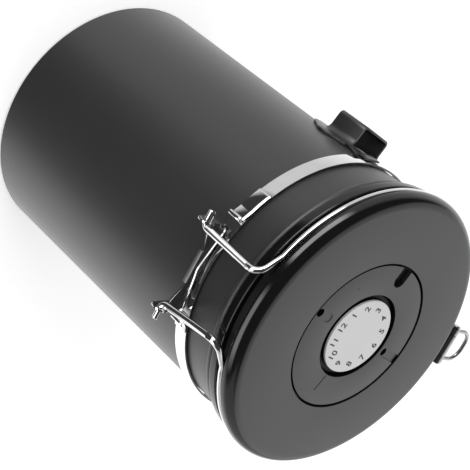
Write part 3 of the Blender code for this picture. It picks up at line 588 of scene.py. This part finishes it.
def plateMesh(name, outlines, thickness, place, soften=0.0):
    # A flat sheet with holes, its edges softened, placed by a matrix in millimetres.
    curve = bpy.data.curves.new(name, "CURVE")
    curve.dimensions = "2D"
    curve.fill_mode = "BOTH"
    curve.extrude = thickness * mm / 2
    for outline in outlines:
        line = curve.splines.new("POLY")
        line.points.add(len(outline) - 1)
        line.use_cyclic_u = True
        for spot, point in zip(line.points, outline):
            spot.co = (point[0] * mm, point[1] * mm, 0, 1)
    mesh = evaluated(tempObject(curve))
    work = bmesh.new()
    work.from_mesh(mesh)
    bmesh.ops.remove_doubles(work, verts=work.verts, dist=weld * mm)
    bmesh.ops.recalc_face_normals(work, faces=work.faces)
    work.to_mesh(mesh)
    work.free()
    if soften:
        mesh = softened(mesh, soften)
    return settled(mesh, place)


def softened(mesh, width):
    item = tempObject(mesh)
    bevel = item.modifiers.new("edge", "BEVEL")
    bevel.width = width * mm
    bevel.segments = 2
    bevel.limit_method = "ANGLE"
    bevel.angle_limit = radians(bevelAngle)
    bevel.use_clamp_overlap = True
    return evaluated(item)


def merged(mesh, tool, operation):
    item, other = tempObject(mesh), tempObject(tool)
    step = item.modifiers.new(operation.lower(), "BOOLEAN")
    step.operation = operation
    step.object = other
    step.solver = "EXACT"
    made = evaluated(item)
    bpy.data.objects.remove(other, do_unlink=True)
    return made


def blockMesh(size, place):
    mesh = bpy.data.meshes.new("block")
    work = bmesh.new()
    bmesh.ops.create_cube(work, size=1, matrix=Matrix.Diagonal((*(Vector(size) * mm), 1)))
    work.to_mesh(mesh)
    work.free()
    return settled(mesh, place)


def rodMesh(radius, length, place, sides=40):
    mesh = bpy.data.meshes.new("rod")
    work = bmesh.new()
    bmesh.ops.create_cone(work, cap_ends=True, segments=sides, radius1=radius * mm, radius2=radius * mm,
                          depth=length * mm)
    work.to_mesh(mesh)
    work.free()
    return settled(mesh, place)


def polar(radius, angle, height=0.0):
    return Vector((radius * cos(angle), radius * sin(angle), height))


def at(place, turn=0.0):
    return Matrix.Translation(Vector(place)) @ Matrix.Rotation(turn, 4, "Z")


# Canister shell

shell = {
    "radius": 60,
    "wall": 0.8,
    "floor": 1.2,
    "baseEdge": 1.5,
    "baseInside": 2.0,
    "beadHeight": 3.8,
    "beadTurn": 248,
    "beadFoot": 0.5,
}


def makeShell(s):
    low, high = boxOf("canister_shell")
    inner = s["radius"] - s["wall"]
    halfWide = (high.x - inner) / 2
    middle = high.z - s["beadHeight"] / 2
    bead = [(inner + halfWide - halfWide * cos(t), middle + s["beadHeight"] / 2 * sin(t))
            for t in np.linspace(0, radians(s["beadTurn"]), 26)]
    inside = rounded([(0, s["floor"]), (inner, s["floor"]), (inner, middle)], s["baseInside"])
    outside = roundedCorners([(*bead[-1], 0), (s["radius"], middle - s["beadHeight"] / 2, s["beadFoot"]),
                              (s["radius"], low.z, s["baseEdge"]), (0, low.z, 0)])
    mesh = latheMesh("canister_shell_skin", inside[:-1] + bead + outside[1:], steps=fineSteps)
    finishes = [blackCoat, insideSteel]
    newPiece("canister_shell_skin", mesh, "canister", finishes, ["canister_shell"])
    paintFaces(mesh, lambda centre, normal: (centre.xy.length < inner + 0.05
                                             and s["floor"] - 0.05 < centre.z < middle))


makeShell(shell)


# Clamp band and its end straps

band = {"edge": 0.05, "dullSlope": 0.08}


def makeBand(s):
    low, high = boxOf("clamp_band")
    inner = shell["radius"] + seatGap
    section = [(inner, high.z), (high.x, high.z), (high.x, low.z), (inner, low.z)]
    outline = rounded(section, s["edge"], closed=True)
    mesh = latheMesh("clamp_band_strip", outline, closed=True, steps=fineSteps)
    finishes = [polishedSteel, cutAndShadedSteel]
    newPiece("clamp_band_strip", mesh, "canister", finishes, ["clamp_band"])
    # The sheared edges are dull, and their darker steel colour is painted shade.
    paintFaces(mesh, lambda centre, normal: abs(normal.z) > s["dullSlope"])


bandEnd = {
    "sheet": 0.5,
    "outside": 0.65,
    "from": 37.0,  # degrees round from the latch
    "bend": 27.8,
    "curl": 23.2,
    "rise": 1.0,
    "curlRadius": 0.9,
    "curlTurn": 250,
    "crispBend": 0.3,
    "edge": 0.05,
}


def makeBandEnd(name, side, s):
    low, high = boxOf("clamp_band")
    lie = high.x + s["outside"] - s["sheet"] / 2
    angles = [radians(angle) for angle in np.linspace(s["from"], s["bend"], 13)]
    path = [(lie * sin(a), lie * cos(a)) for a in angles]
    outward = Vector((sin(radians(s["curl"])), cos(radians(s["curl"]))))
    foot = outward * (lie + s["rise"])
    bend = Vector(path[-1])
    path.append(tuple(bend + (foot - bend).normalized() * s["crispBend"]))
    start = atan2(-outward.y, -outward.x)
    path += arc(foot + outward * s["curlRadius"], s["curlRadius"], start, start - radians(s["curlTurn"]), 20)
    path = [(side * x, y) for x, y in path]
    place = facing((1, 0, 0), (0, -1, 0), (0, 0, (low.z + high.z) / 2))
    mesh = plateMesh(name, [stripOutline(path, s["sheet"])], high.z - low.z, place, s["edge"])
    newPiece(name + "_strap", mesh, "canister", [polishedSteel], [name])


makeBand(band)
makeBandEnd("band_end_left", -1, bandEnd)
makeBandEnd("band_end_right", 1, {**bandEnd, "from": 26.0, "bend": 23.6, "curl": 21.6})
print("band ready")


# Scoop holder

scoop = {
    "azimuth": 167.5,
    "sheet": 1.0,
    "halfWidth": 9.6,
    "reach": 70.05,
    "footEnd": 15.2,
    "footSink": 0.42,
    "footRadius": 4.4,
    "cornerRadius": 1.8,
    "height": 15.8,
    "aboveLeaf": 9.7,
    "plateSheet": 0.9,
    "plateStep": 1.0,
    "leafHalfWidth": 17.4,
    "leafSide": 4.0,
    "leafRadius": 5.0,
    "neckHalfWidth": 12.5,
    "topHalfWidth": 17.0,
    "farHalfWidth": -9.0,  # the side away from the latch is cut short
    "farAboveNeck": 1.0,
    "farBelowNeck": 2.0,
    "farRadius": 1.0,
    "edge": 0.22,
}


def makeScoopHolder(s):
    low, high = boxOf("scoop_holder")
    bandLow, bandHigh = boxOf("clamp_band")
    lean = Matrix.Rotation(radians(s["azimuth"] - 90), 4, "Z")
    inner = shell["radius"] + seatGap
    outer = inner + s["plateSheet"]
    lie = outer - s["footSink"]
    foot, half = s["footEnd"], s["halfWidth"]
    side = [(foot, (lie ** 2 - foot ** 2) ** 0.5, 0), (half, (lie ** 2 - half ** 2) ** 0.5, s["footRadius"]),
            (half, s["reach"], s["cornerRadius"])]
    path = roundedCorners(side + [(-x, y, r) for x, y, r in side[::-1]], steps=8)
    bottom = low.z + s["aboveLeaf"]
    place = lean @ at((0, 0, bottom + s["height"] / 2))
    sleeve = plateMesh("sleeve", [stripOutline(path, s["sheet"])], s["height"], place, soften=s["edge"])
    # The back plate steps out over the band and is cut to a leaf.
    overInner = bandHigh.x + seatGap
    overOuter = overInner + s["plateSheet"]
    stepTop = bandLow.z - seatGap
    stepBottom = stepTop - s["plateStep"]
    under = low.z - overrun
    section = [(overInner, high.z), (overOuter, high.z), (overOuter, stepTop), (outer, stepBottom),
               (outer, under), (inner, under), (inner, stepBottom), (overInner, stepTop)]
    neck = bottom + s["height"]
    middle = (low.z + neck) / 2
    turn = s["leafRadius"]
    leafEdge = [(s["leafHalfWidth"], middle + s["leafSide"] / 2, turn),
                (s["leafHalfWidth"], middle - s["leafSide"] / 2, turn), (half, low.z, turn)]
    near = [(s["topHalfWidth"], high.z + overrun, 0), (s["topHalfWidth"], stepBottom, turn),
            (s["neckHalfWidth"], neck, turn)] + leafEdge
    far = [(s["farHalfWidth"], high.z + overrun, 0),
           (s["farHalfWidth"], neck + s["farAboveNeck"], s["farRadius"]),
           (half, neck - s["farBelowNeck"], s["farRadius"])] + leafEdge
    outline = roundedCorners(far + [(-x, y, r) for x, y, r in near[::-1]], closed=True, steps=10)
    leafPlace = lean @ facing((1, 0, 0), (0, 0, 1), (0, shell["radius"], 0))
    leaf = plateMesh("leaf", [outline], shell["radius"], leafPlace)
    back = merged(latheMesh("back", section, closed=True, steps=fineSteps), leaf, "INTERSECT")
    holder = merged(softened(back, s["edge"]), sleeve, "UNION")
    holder.name = "scoop_sleeve_and_plate"
    newPiece(holder.name, holder, "canister", [holderCoat], ["scoop_holder"])


makeScoopHolder(scoop)
print("scoop holder ready")


# Hinge at the back

hinge = {
    "sheet": 0.8,
    "halfWidth": 8.75,
    "knuckle": 3.15,
    "bore": 1.5,
    "pinRadius": 1.2,
    "headRadius": 1.9,
    "headLength": 0.8,
    "headRound": 0.5,
    "headUnder": 0.15,
    "bandBend": 2.5,
    "kneeBend": 4.0,
    "kneeAboveBand": 7.1,
    "knuckleEnd": 110,
    "windowLow": 178.6,
    "windowHeight": 10,
    "strapHalfWidth": 5.2,
    "wireReach": 62.85,
    "wireRadius": 1.4,
    "eyeRadius": 1.7,
    "loopWire": 0.95,
    "loopReach": 83.5,
    "loopCorner": 6.0,
    "edge": 0.12,
}


def hingeAxis():
    low, high = boxOf("hinge_pin")
    return (low.y + high.y) / 2, (low.z + high.z) / 2


def makeRearBracket(s):
    reach, height = hingeAxis()
    bandLow, bandHigh = boxOf("clamp_band")
    lie = bandHigh.x + seatGap + s["sheet"] / 2
    roll = s["bore"] + s["sheet"] / 2
    knee = bandHigh.z + s["kneeAboveBand"]
    path = roundedCorners([(lie, bandLow.z, 0), (lie, bandHigh.z, s["bandBend"]),
                           (reach - roll, knee, s["kneeBend"]), (reach - roll, height, 0)])
    path = path[:-1] + arc((reach, height), roll, pi, -radians(s["knuckleEnd"]), 40)
    mesh = plateMesh("rear_bracket_sheet", [stripOutline(path, s["sheet"])], 2 * s["halfWidth"], rearSection)
    size = (2 * (s["halfWidth"] - s["knuckle"]), 4 * roll, s["windowHeight"])
    window = blockMesh(size, at((0, reach, s["windowLow"] + size[2] / 2)))
    mesh = softened(merged(mesh, window, "DIFFERENCE"), s["edge"])
    newPiece("rear_bracket_sheet", mesh, "canister", [drawnShadedSteel], ["rear_bracket"])


def makeHingeStrap(s):
    reach, height = hingeAxis()
    wire = Vector((s["wireReach"], boxOf("bail_wire")[1].z - s["wireRadius"]))
    pin = Vector((reach, height))
    lean = atan2(pin.y - wire.y, pin.x - wire.x)
    nearOuter, farOuter = s["eyeRadius"] + s["sheet"], s["bore"] + s["sheet"]
    near, far = asin(s["sheet"] / nearOuter), asin(s["sheet"] / farOuter)
    outline = arc(wire, nearOuter, lean + near, lean + 2 * pi - near, 40)
    outline += arc(pin, farOuter, lean - pi + far, lean + pi - far, 40)
    holes = [arc(wire, s["eyeRadius"], 0, 2 * pi, 40)[:-1], arc(pin, s["bore"], 0, 2 * pi, 40)[:-1]]
    mesh = plateMesh("hinge_strap_rolled", [outline] + holes, 2 * s["strapHalfWidth"], rearSection, s["edge"])
    newPiece("hinge_strap_rolled", mesh, "lid", [drawnShadedSteel], ["lid_hinge_strap"])


def makeHingePin(s):
    reach, height = hingeAxis()
    tip = boxOf("hinge_pin")[1].x
    shaft = tip - s["headLength"]
    half = [(0, tip, 0), (s["headRadius"], tip, s["headRound"]), (s["headRadius"], shaft, s["headUnder"]),
            (s["pinRadius"], shaft, 0)]
    outline = roundedCorners(half + [(x, -y, r) for x, y, r in half[::-1]])
    mesh = latheMesh("hinge_pin_riveted", outline, steps=48)
    settled(mesh, Matrix.Translation((0, reach, height)) @ Matrix.Rotation(pi / 2, 4, "Y"))
    newPiece("hinge_pin_riveted", mesh, "canister", [drawnShadedSteel], ["hinge_pin"])


def makeHingeLoop(s):
    reach, height = hingeAxis()
    low, high = boxOf("hinge_loop")
    side = high.x - s["loopWire"]
    spots = [(side, low.y, height), (side, s["loopReach"], height),
             (-side, s["loopReach"], height), (-side, low.y, height)]
    path = rounded(spots, s["loopCorner"], steps=20)
    mesh = tubeMesh("hinge_loop_wire", path, s["loopWire"], tipRound=0.2)
    newPiece("hinge_loop_wire", mesh, "canister", [drawnShadedSteel], ["hinge_loop"])


makeRearBracket(hinge)
makeHingeStrap(hinge)
makeHingePin(hinge)
makeHingeLoop(hinge)
print("hinge ready")


# Lid base: flange, neck and plug

lidBase = {
    "flange": 63.5,
    "flangeLow": 170.6,
    "lineHeight": 1.4,
    "lineWidth": 0.2,
    "lineStep": 0.25,
    "groove": 175.0,
    "neck": 61.35,
    "neckTop": 180.2,
    "neckInner": 59.9,
    "skirtInner": 62.8,
    "gasketRoof": 172.6,
    "gasketWall": 57.7,
    "plug": 55.0,
    "plugLow": 161.0,
    "plugInner": 53.0,
    "floorTop": 163.0,
    "ledge": 173.3,
    "valveHole": 9.5,
    "notchDepth": 60.25,
    "notchHalfWidth": 5.6,
}


def makeLidBase(s):
    line, below = s["flangeLow"] + s["lineHeight"], s["flange"] - s["lineStep"]
    points = [(s["valveHole"], s["floorTop"], 0.2), (s["plugInner"], s["floorTop"], 1.5),
              (s["plugInner"], s["ledge"], 0.5), (s["neckInner"], s["ledge"], 0.5),
              (s["neckInner"], s["neckTop"], 0.2), (s["neck"], s["neckTop"], 0.3),
              (s["neck"], s["groove"], 0.5), (s["flange"], s["groove"], 0.7),
              (s["flange"], line + s["lineWidth"] / 2, 0), (below, line - s["lineWidth"] / 2, 0),
              (below, s["flangeLow"], 0.25), (s["skirtInner"], s["flangeLow"], 0.1),
              (s["skirtInner"], s["gasketRoof"], 0.2), (s["gasketWall"], s["gasketRoof"], 0.2),
              (s["gasketWall"], s["flangeLow"], 0.5), (s["plug"], s["flangeLow"], 0.8),
              (s["plug"], s["plugLow"], 1.2), (s["valveHole"], s["plugLow"], 0.3)]
    outline = roundedCorners(points, closed=True, steps=5)
    mesh = latheMesh("lid_base_moulding", outline, closed=True, steps=fineSteps)
    size = (2 * s["notchHalfWidth"], overrun, 2 * overrun)
    notch = blockMesh(size, at((0, s["notchDepth"] + size[1] / 2, s["groove"] + size[2] / 2)))
    mesh = merged(mesh, notch, "DIFFERENCE")
    finishes = [glossBlack, paintedShadeBlack, satinBlack]
    newPiece("lid_base_moulding", mesh, "lid", finishes, ["lid_base"])

    def pick(centre, normal):
        # The neck behind the wire gets the near-black painted shade, the plug and the underside are satin.
        reach = centre.xy.length
        if centre.z > s["groove"] - 0.2 and s["neckInner"] + 0.1 < reach < s["flange"] - 0.7:
            return 1
        return 2 if reach < s["skirtInner"] - 0.1 else 0

    paintFaces(mesh, pick)


gasket = {"inner": 58.0}


def makeGasket(s):
    low, high = boxOf("lid_gasket")
    inner = s["inner"]
    points = [(inner, high.z), (high.x, high.z), (high.x, low.z), (inner, low.z)]
    mesh = latheMesh("lid_gasket_ring", rounded(points, 0.5, closed=True), closed=True, steps=160)
    newPiece("lid_gasket_ring", mesh, "lid", [silicone], ["lid_gasket"])


makeLidBase(lidBase)
makeGasket(gasket)


# Lid cap: the dome and its recess

cap = {
    "edgeRadius": 5.4,
    "wall": 2.2,
    "recess": 34.8,
    "recessDepth": 3.2,
    "recessFloor": 1.8,
    "lip": 0.12,
    "boss": 19.2,
    "bossInner": 17.47,
    "bossBelow": 2.2,
    "labelSeat": 1.4,
    "seat": 59.5,
    "ventRadius": 1.5,
    "ventOrbit": 27.1,
    "ventAngles": (30, 150, 270),
    "notchAngles": (-104.1, -80.8),
    "notchSize": (1.6, 1.6, 0.9),
}


def makeLidCap(s):
    low, high = boxOf("lid_cap")
    top, outer = high.z, high.x
    floor, under = top - s["recessDepth"], top - s["recessDepth"] - s["recessFloor"]
    ceiling = top - s["wall"]
    points = [(0, top - s["labelSeat"], 0), (s["bossInner"], top - s["labelSeat"], 0),
              (s["bossInner"], top - s["bossBelow"], 0), (s["boss"], top - s["bossBelow"], 0.3),
              (s["boss"], floor, 0.2), (s["recess"], floor, 0.2), (s["recess"], top, s["lip"]),
              (outer, top, s["edgeRadius"]), (outer, low.z, 0.3), (s["seat"], low.z, 0.2),
              (s["seat"], ceiling, 0.5), (s["recess"] + s["wall"], ceiling, 0.5),
              (s["recess"] + s["wall"], under, 0.4), (0, under, 0)]
    mesh = latheMesh("lid_cap_dome", roundedCorners(points, steps=10), steps=fineSteps)
    for angle in s["ventAngles"]:
        place = at(polar(s["ventOrbit"], radians(angle), floor))
        mesh = merged(mesh, rodMesh(s["ventRadius"], 2 * overrun, place, sides=24), "DIFFERENCE")
    for angle in s["notchAngles"]:
        spot = polar(outer, radians(angle), low.z)
        mesh = merged(mesh, blockMesh(s["notchSize"], at(spot, radians(angle))), "DIFFERENCE")
    newPiece("lid_cap_dome", mesh, "lid", [glossBlack, paintedShadeBlack], ["lid_cap"])
    # The well under the ring gets the near-black painted shade.
    paintFaces(mesh, lambda centre, normal: (floor - 0.1 < centre.z < top - 0.15
                                             and centre.xy.length < s["recess"] + 0.05))


makeLidCap(cap)


# Month ring

ring = {
    "inner": 19.9,
    "outer": 33.8,
    "edge": 0.1,
    "below": 0.28,
    "slotAngle": 167.8,
    "slotFrom": 25.0,
    "slotPast": 6.0,
    "slotWidth": 6.6,
    "slotDepth": 1.9,
    "pointerAngle": -16.7,
    "pointerFrom": 20.6,
    "pointerTo": 28.0,
    "pointerWidth": 0.55,
    "pointerDepth": 0.35,
    "slotHole": 0.9,
    "slotHoleShare": 0.75,
    "holeRadius": 1.9,
    "holeTool": 12,
    # angle, hole, far end, width, depth
    "snaps": ((75.8, 23.6, 34.8, 4.2, 0.6), (-104.7, 31.8, 25.6, 4.2, 0.22)),
    "dotAngle": -141.6,
    "dotOrbit": 26.7,
    "dotRadius": 0.32,
    "dotDepth": 0.3,
    "unpolishedBelow": 0.8,
}


def stadium(start, end, width, steps=12):
    # A long hole along X with round ends.
    half = width / 2
    return arc((end, 0), half, -pi / 2, pi / 2, steps) + arc((start, 0), half, pi / 2, 3 * pi / 2, steps)


def sunk(mesh, outline, depth, angle, top):
    # Cuts an outline of the given depth into the top, turned to an angle round the axis.
    tool = plateMesh("tool", [outline], 2 * depth, at((0, 0, top), radians(angle)))
    return merged(mesh, tool, "DIFFERENCE")


def makeMonthRing(s):
    low = boxOf("month_ring")[0]
    top = capTop - s["below"]
    points = [(s["inner"], top), (s["outer"], top), (s["outer"], low.z), (s["inner"], low.z)]
    mesh = latheMesh("month_ring_dial", rounded(points, s["edge"], closed=True), closed=True)
    half = s["slotWidth"] / 2
    slot = stadium(s["slotFrom"] + half, s["outer"] + s["slotPast"], s["slotWidth"])
    mesh = sunk(mesh, slot, s["slotDepth"], s["slotAngle"], top)
    hole = polar(s["slotFrom"] + half * s["slotHoleShare"], radians(s["slotAngle"]), top)
    mesh = merged(mesh, rodMesh(s["slotHole"], s["holeTool"], at(hole), sides=24), "DIFFERENCE")
    pointer = stadium(s["pointerFrom"], s["pointerTo"], s["pointerWidth"], 4)
    mesh = sunk(mesh, pointer, s["pointerDepth"], s["pointerAngle"], top)
    for angle, hole, farEnd, width, depth in s["snaps"]:
        start, end = sorted((hole, farEnd))
        mesh = sunk(mesh, stadium(start, end, width), depth, angle, top)
        tool = rodMesh(s["holeRadius"], s["holeTool"], at(polar(hole, radians(angle), top)), sides=32)
        mesh = merged(mesh, tool, "DIFFERENCE")
    dot = polar(s["dotOrbit"], radians(s["dotAngle"]), top)
    mesh = merged(mesh, rodMesh(s["dotRadius"], 2 * s["dotDepth"], at(dot), sides=16), "DIFFERENCE")
    newPiece("month_ring_dial", mesh, "ring", [satinBlack, paintedShadeBlack], ["month_ring"])
    # The sides, the slot and the holes get the near-black painted shade.
    paintFaces(mesh, lambda centre, normal: centre.z < top - s["unpolishedBelow"])


makeMonthRing(ring)


# Label disc with the plain numbers 1 to 12

label = {
    "edge": 0.25,
    "below": 0.02,
    "radius": 17.25,
    "twelve": -102.7,  # degrees: where 12 stands, and which way is up for every number
    "orbit": 13.5,
    "height": 3.25,
    "textSize": 1.42,  # of the typeface, for a number of height 1
    "spread": 1.08,
    "bold": 0.03,
    "thick": 0.03,
    "sunk": 0.01,
}


def makeLabel(s):
    low, high = boxOf("label_disc")
    top = high.z - s["below"]
    points = [(0, top, 0), (s["radius"], top, s["edge"]), (s["radius"], low.z, 0.1), (0, low.z, 0)]
    mesh = latheMesh("label_disc_face", roundedCorners(points), steps=160)
    newPiece("label_disc_face", mesh, "lid", [labelGrey], ["label_disc"])
    upward = radians(s["twelve"])
    for number in range(1, 13):
        text = bpy.data.curves.new("number", "FONT")
        text.body = str(number)
        text.align_x = "CENTER"
        text.align_y = "CENTER"
        text.size = s["height"] * s["textSize"]
        text.offset = s["bold"] * s["height"]
        text.space_character = s["spread"]
        text.extrude = s["thick"] / 2
        mesh = evaluated(tempObject(text))
        spot = polar(s["orbit"], upward - radians(30 * number), top + s["thick"] / 2 - s["sunk"])
        mesh.transform(Matrix.Scale(mm, 4) @ at(spot, upward - pi / 2))
        newPiece(f"label_number_{number}", mesh, "lid", [inkGrey])


makeLabel(label)
print("lid ready")


# Bail wire

bail = {
    "wire": 1.4,
    "ring": 62.85,
    "leaves": 23,  # degrees round from the latch
    "pinTip": 24.7,
    "armTop": 15.9,
    "armFoot": 17.7,
    "topReach": 67.2,
    "bendReach": 66.4,
    "armDrop": 6.5,
    "topBend": 5.0,
    "footBend": 2.0,
    "markPush": (-0.35, -0.94),
    "markAbove": 0.4,
    "markReach": 2.3,
    "markDepth": 0.55,
}


def jointPlace(name):
    joint = next(j for j in frame["joints"] if j["name"] == name)
    return Vector(joint["pos_m"]) / mm


def makeBail(s):
    height = boxOf("bail_wire")[1].z - s["wire"]
    pin = jointPlace("latch_hinge")
    half = [(s["pinTip"], pin.y, pin.z), (s["armFoot"], pin.y, pin.z),
            (s["armTop"], -s["topReach"], height - s["armDrop"]), (s["armTop"], -s["bendReach"], height)]
    angles = np.linspace(radians(s["leaves"] - 90), pi / 2, 61)
    ringPath = [polar(s["ring"], angle, height) for angle in angles]
    path = rounded(half + ringPath[:2], [0, s["footBend"], s["topBend"], s["topBend"], 0, 0], steps=10)
    path += ringPath[2:]
    path += [Vector((-p.x, p.y, p.z)) for p in path[-2::-1]]
    marks = []
    for side in (1, -1):
        centre = Vector((side * s["armTop"], -s["topReach"], height - s["armDrop"] + s["markAbove"]))
        push = Vector((side * s["markPush"][0], s["markPush"][1], 0))
        marks.append((centre, push, s["markReach"], s["markDepth"]))
    mesh = tubeMesh("bail_wire_polished", path, s["wire"], sides=24, tipRound=0.3, flats=marks)
    newPiece("bail_wire_polished", mesh, "lid", [polishedSteel], ["bail_wire"])


makeBail(bail)
print("bail ready")


# Latch lever: a web across the latch with a raised rim, a short lip and two ears

lever = {
    "sheet": 0.9,
    "halfWidth": 20.3,
    "webAbovePin": 0.9,
    "innerMiddle": 63.0,
    "innerSide": 58.93,
    "outerSide": 68.0,
    "knee": 15.55,
    "lipHalfWidth": 7.3,
    "lipReach": 64.6,
    "lipProud": 0.2,
    "lipDrop": 1.6,
    "lipSheet": 0.8,
    "rimHeight": 0.7,
    "rimSheet": 0.5,
    "rimTurn": 2.2,
    "rimTurnStep": 0.2,
    "rimMiddleTurn": 5,
    "rimIntoEar": 5,
    "bore": 1.7,
    "boreTool": 60,
    "eye": 3.18,
    "neckAngle": 115,
    "tipRadius": 1.6,
    "tipDrop": 2.2,
    "tipOut": 1.0,
    "earInset": 1.4,
    "earHeight": 7.7,
    "earProud": 0.3,
    "earCorner": 1.0,
    "edge": 0.08,
    "dullSlope": 0.3,
}


def makeLever(s):
    pin = jointPlace("latch_hinge")
    reach, height = -pin.y, pin.z
    webTop = height + s["webAbovePin"]
    webMiddle = webTop - s["sheet"] / 2
    earAt = s["halfWidth"] - s["sheet"] / 2
    half = [(s["lipHalfWidth"], s["lipReach"]), (s["knee"], s["outerSide"]), (earAt, s["outerSide"]),
            (earAt, s["innerSide"] + s["rimTurn"]),
            (earAt - s["rimTurn"], s["innerSide"] + s["rimTurn"] * s["rimTurnStep"])]
    outline = half + [(0, s["innerMiddle"])] + [(-x, y) for x, y in half[::-1]]
    web = plateMesh("web", [outline], s["sheet"], at((0, 0, webMiddle)) @ planFront)
    # The raised rim follows the inner edge and turns into the ears.
    rimHalf = [(earAt, s["innerSide"] + s["rimIntoEar"], 0),
               (earAt, s["innerSide"] + s["rimSheet"] / 2, s["rimTurn"])]
    rimMiddle = [(0, s["innerMiddle"] + s["rimSheet"] / 2, s["rimMiddleTurn"])]
    rimPath = roundedCorners(rimHalf + rimMiddle + [(-x, y, r) for x, y, r in rimHalf[::-1]], steps=10)
    rimTall = s["sheet"] + s["rimHeight"] - 0.05
    rim = plateMesh("rim", [stripOutline(rimPath, s["rimSheet"])], rimTall,
                    at((0, 0, webTop + s["rimHeight"] - rimTall / 2)) @ planFront)
    mesh = merged(web, rim, "UNION")
    bendAt = s["lipReach"] + s["lipProud"]
    lipPath = [(s["lipReach"] - 1, webMiddle), (bendAt, webMiddle), (bendAt, webMiddle - s["lipDrop"])]
    lip = plateMesh("lip", [stripOutline(lipPath, s["lipSheet"])], 2 * s["lipHalfWidth"], frontSection)
    mesh = merged(mesh, lip, "UNION")
    eye, tip = Vector((reach, height)), Vector((reach + s["tipOut"], height - s["tipDrop"]))
    lean = atan2(tip.y - eye.y, tip.x - eye.x)
    spread = acos((s["eye"] - s["tipRadius"]) / (tip - eye).length)
    end, low = s["innerSide"] + s["earInset"], webTop - s["earHeight"]
    rise = atan2(tip.y - s["tipRadius"] - low, tip.x - end)
    above = webTop + s["earProud"]
    ear = roundedCorners([(reach - s["eye"] + s["earProud"], above, 0), (end, above, 0),
                          (end, low, s["earCorner"]), (tip.x, tip.y - s["tipRadius"], 0)])[:-1]
    ear += arc(tip, s["tipRadius"], rise - pi / 2, lean + spread, 14)
    ear += arc(eye, s["eye"], lean + spread, radians(s["neckAngle"]), 14)
    for side in (1, -1):
        place = frontSection.copy()
        place.translation = Vector((side * earAt, 0, 0))
        mesh = merged(mesh, plateMesh("ear", [ear], s["sheet"], place), "UNION")
    along = Matrix.Translation(pin) @ Matrix.Rotation(pi / 2, 4, "Y")
    mesh = merged(mesh, rodMesh(s["bore"], s["boreTool"], along, sides=48), "DIFFERENCE")
    mesh = softened(mesh, s["edge"])
    mesh.name = "latch_lever_pressed"
    newPiece(mesh.name, mesh, "lever", [polishedSteel, cutAndShadedSteel], ["latch_lever"])

    def pick(centre, normal):
        # The lip and the inside are dull, and their darker steel colour is painted shade.
        lip = abs(centre.x) < s["lipHalfWidth"] + 0.2 and -centre.y > s["lipReach"] - 0.1
        return lip or (normal.y > s["dullSlope"] and centre.z < webTop + s["rimHeight"] - 0.1)

    paintFaces(mesh, pick)


makeLever(lever)
print("lever ready")


# Gas valve in the plug

valve = {
    "bore": 7.8,
    "body": 9.2,
    "flange": 12.0,
    "capRadius": 11.0,
    "holeRadius": 1.2,
    "holeOrbit": 4.0,
    "holes": 4,
    "slotFrom": 3.2,
    "slotTo": 7.2,
    "slotWidth": 1.5,
    "slotTool": 4,
    "slots": 8,
}


def roundPlate(name, radius, low, high, edge):
    outline = rounded([(0, high), (radius, high), (radius, low), (0, low)], [0, edge, edge, 0])
    return latheMesh(name, outline, steps=96)


def makeValve(s):
    low, high = boxOf("filter_grille")
    grille = roundPlate("grille", s["body"], low.z, high.z, 0.25)
    for i in range(s["slots"]):
        angle = 2 * pi * i / s["slots"]
        slot = stadium(s["slotFrom"], s["slotTo"], s["slotWidth"])
        tool = plateMesh("tool", [slot], s["slotTool"], at((0, 0, low.z), angle))
        grille = merged(grille, tool, "DIFFERENCE")
    newPiece("filter_grille_slotted", grille, "lid", [whitePlastic], ["filter_grille"])
    low, high = boxOf("valve_cap")
    top = roundPlate("cap", s["capRadius"], low.z, high.z, 0.35)
    for i in range(s["holes"]):
        spot = polar(s["holeOrbit"], 2 * pi * i / s["holes"], low.z)
        top = merged(top, rodMesh(s["holeRadius"], 2 * overrun, at(spot), sides=24), "DIFFERENCE")
    newPiece("valve_cap_moulded", top, "lid", [whitePlastic], ["valve_cap"])


makeValve(valve)


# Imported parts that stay, with their finishes

packedFinishes = {"valve_housing": whitePlastic, "valve_filter": filterFelt, "valve_flap": silicone}
for node, finish in packedFinishes.items():
    for holder in frame["nodes"][node].material_slots:
        holder.material = finish
print("valve ready")

bpy.context.view_layer.update()
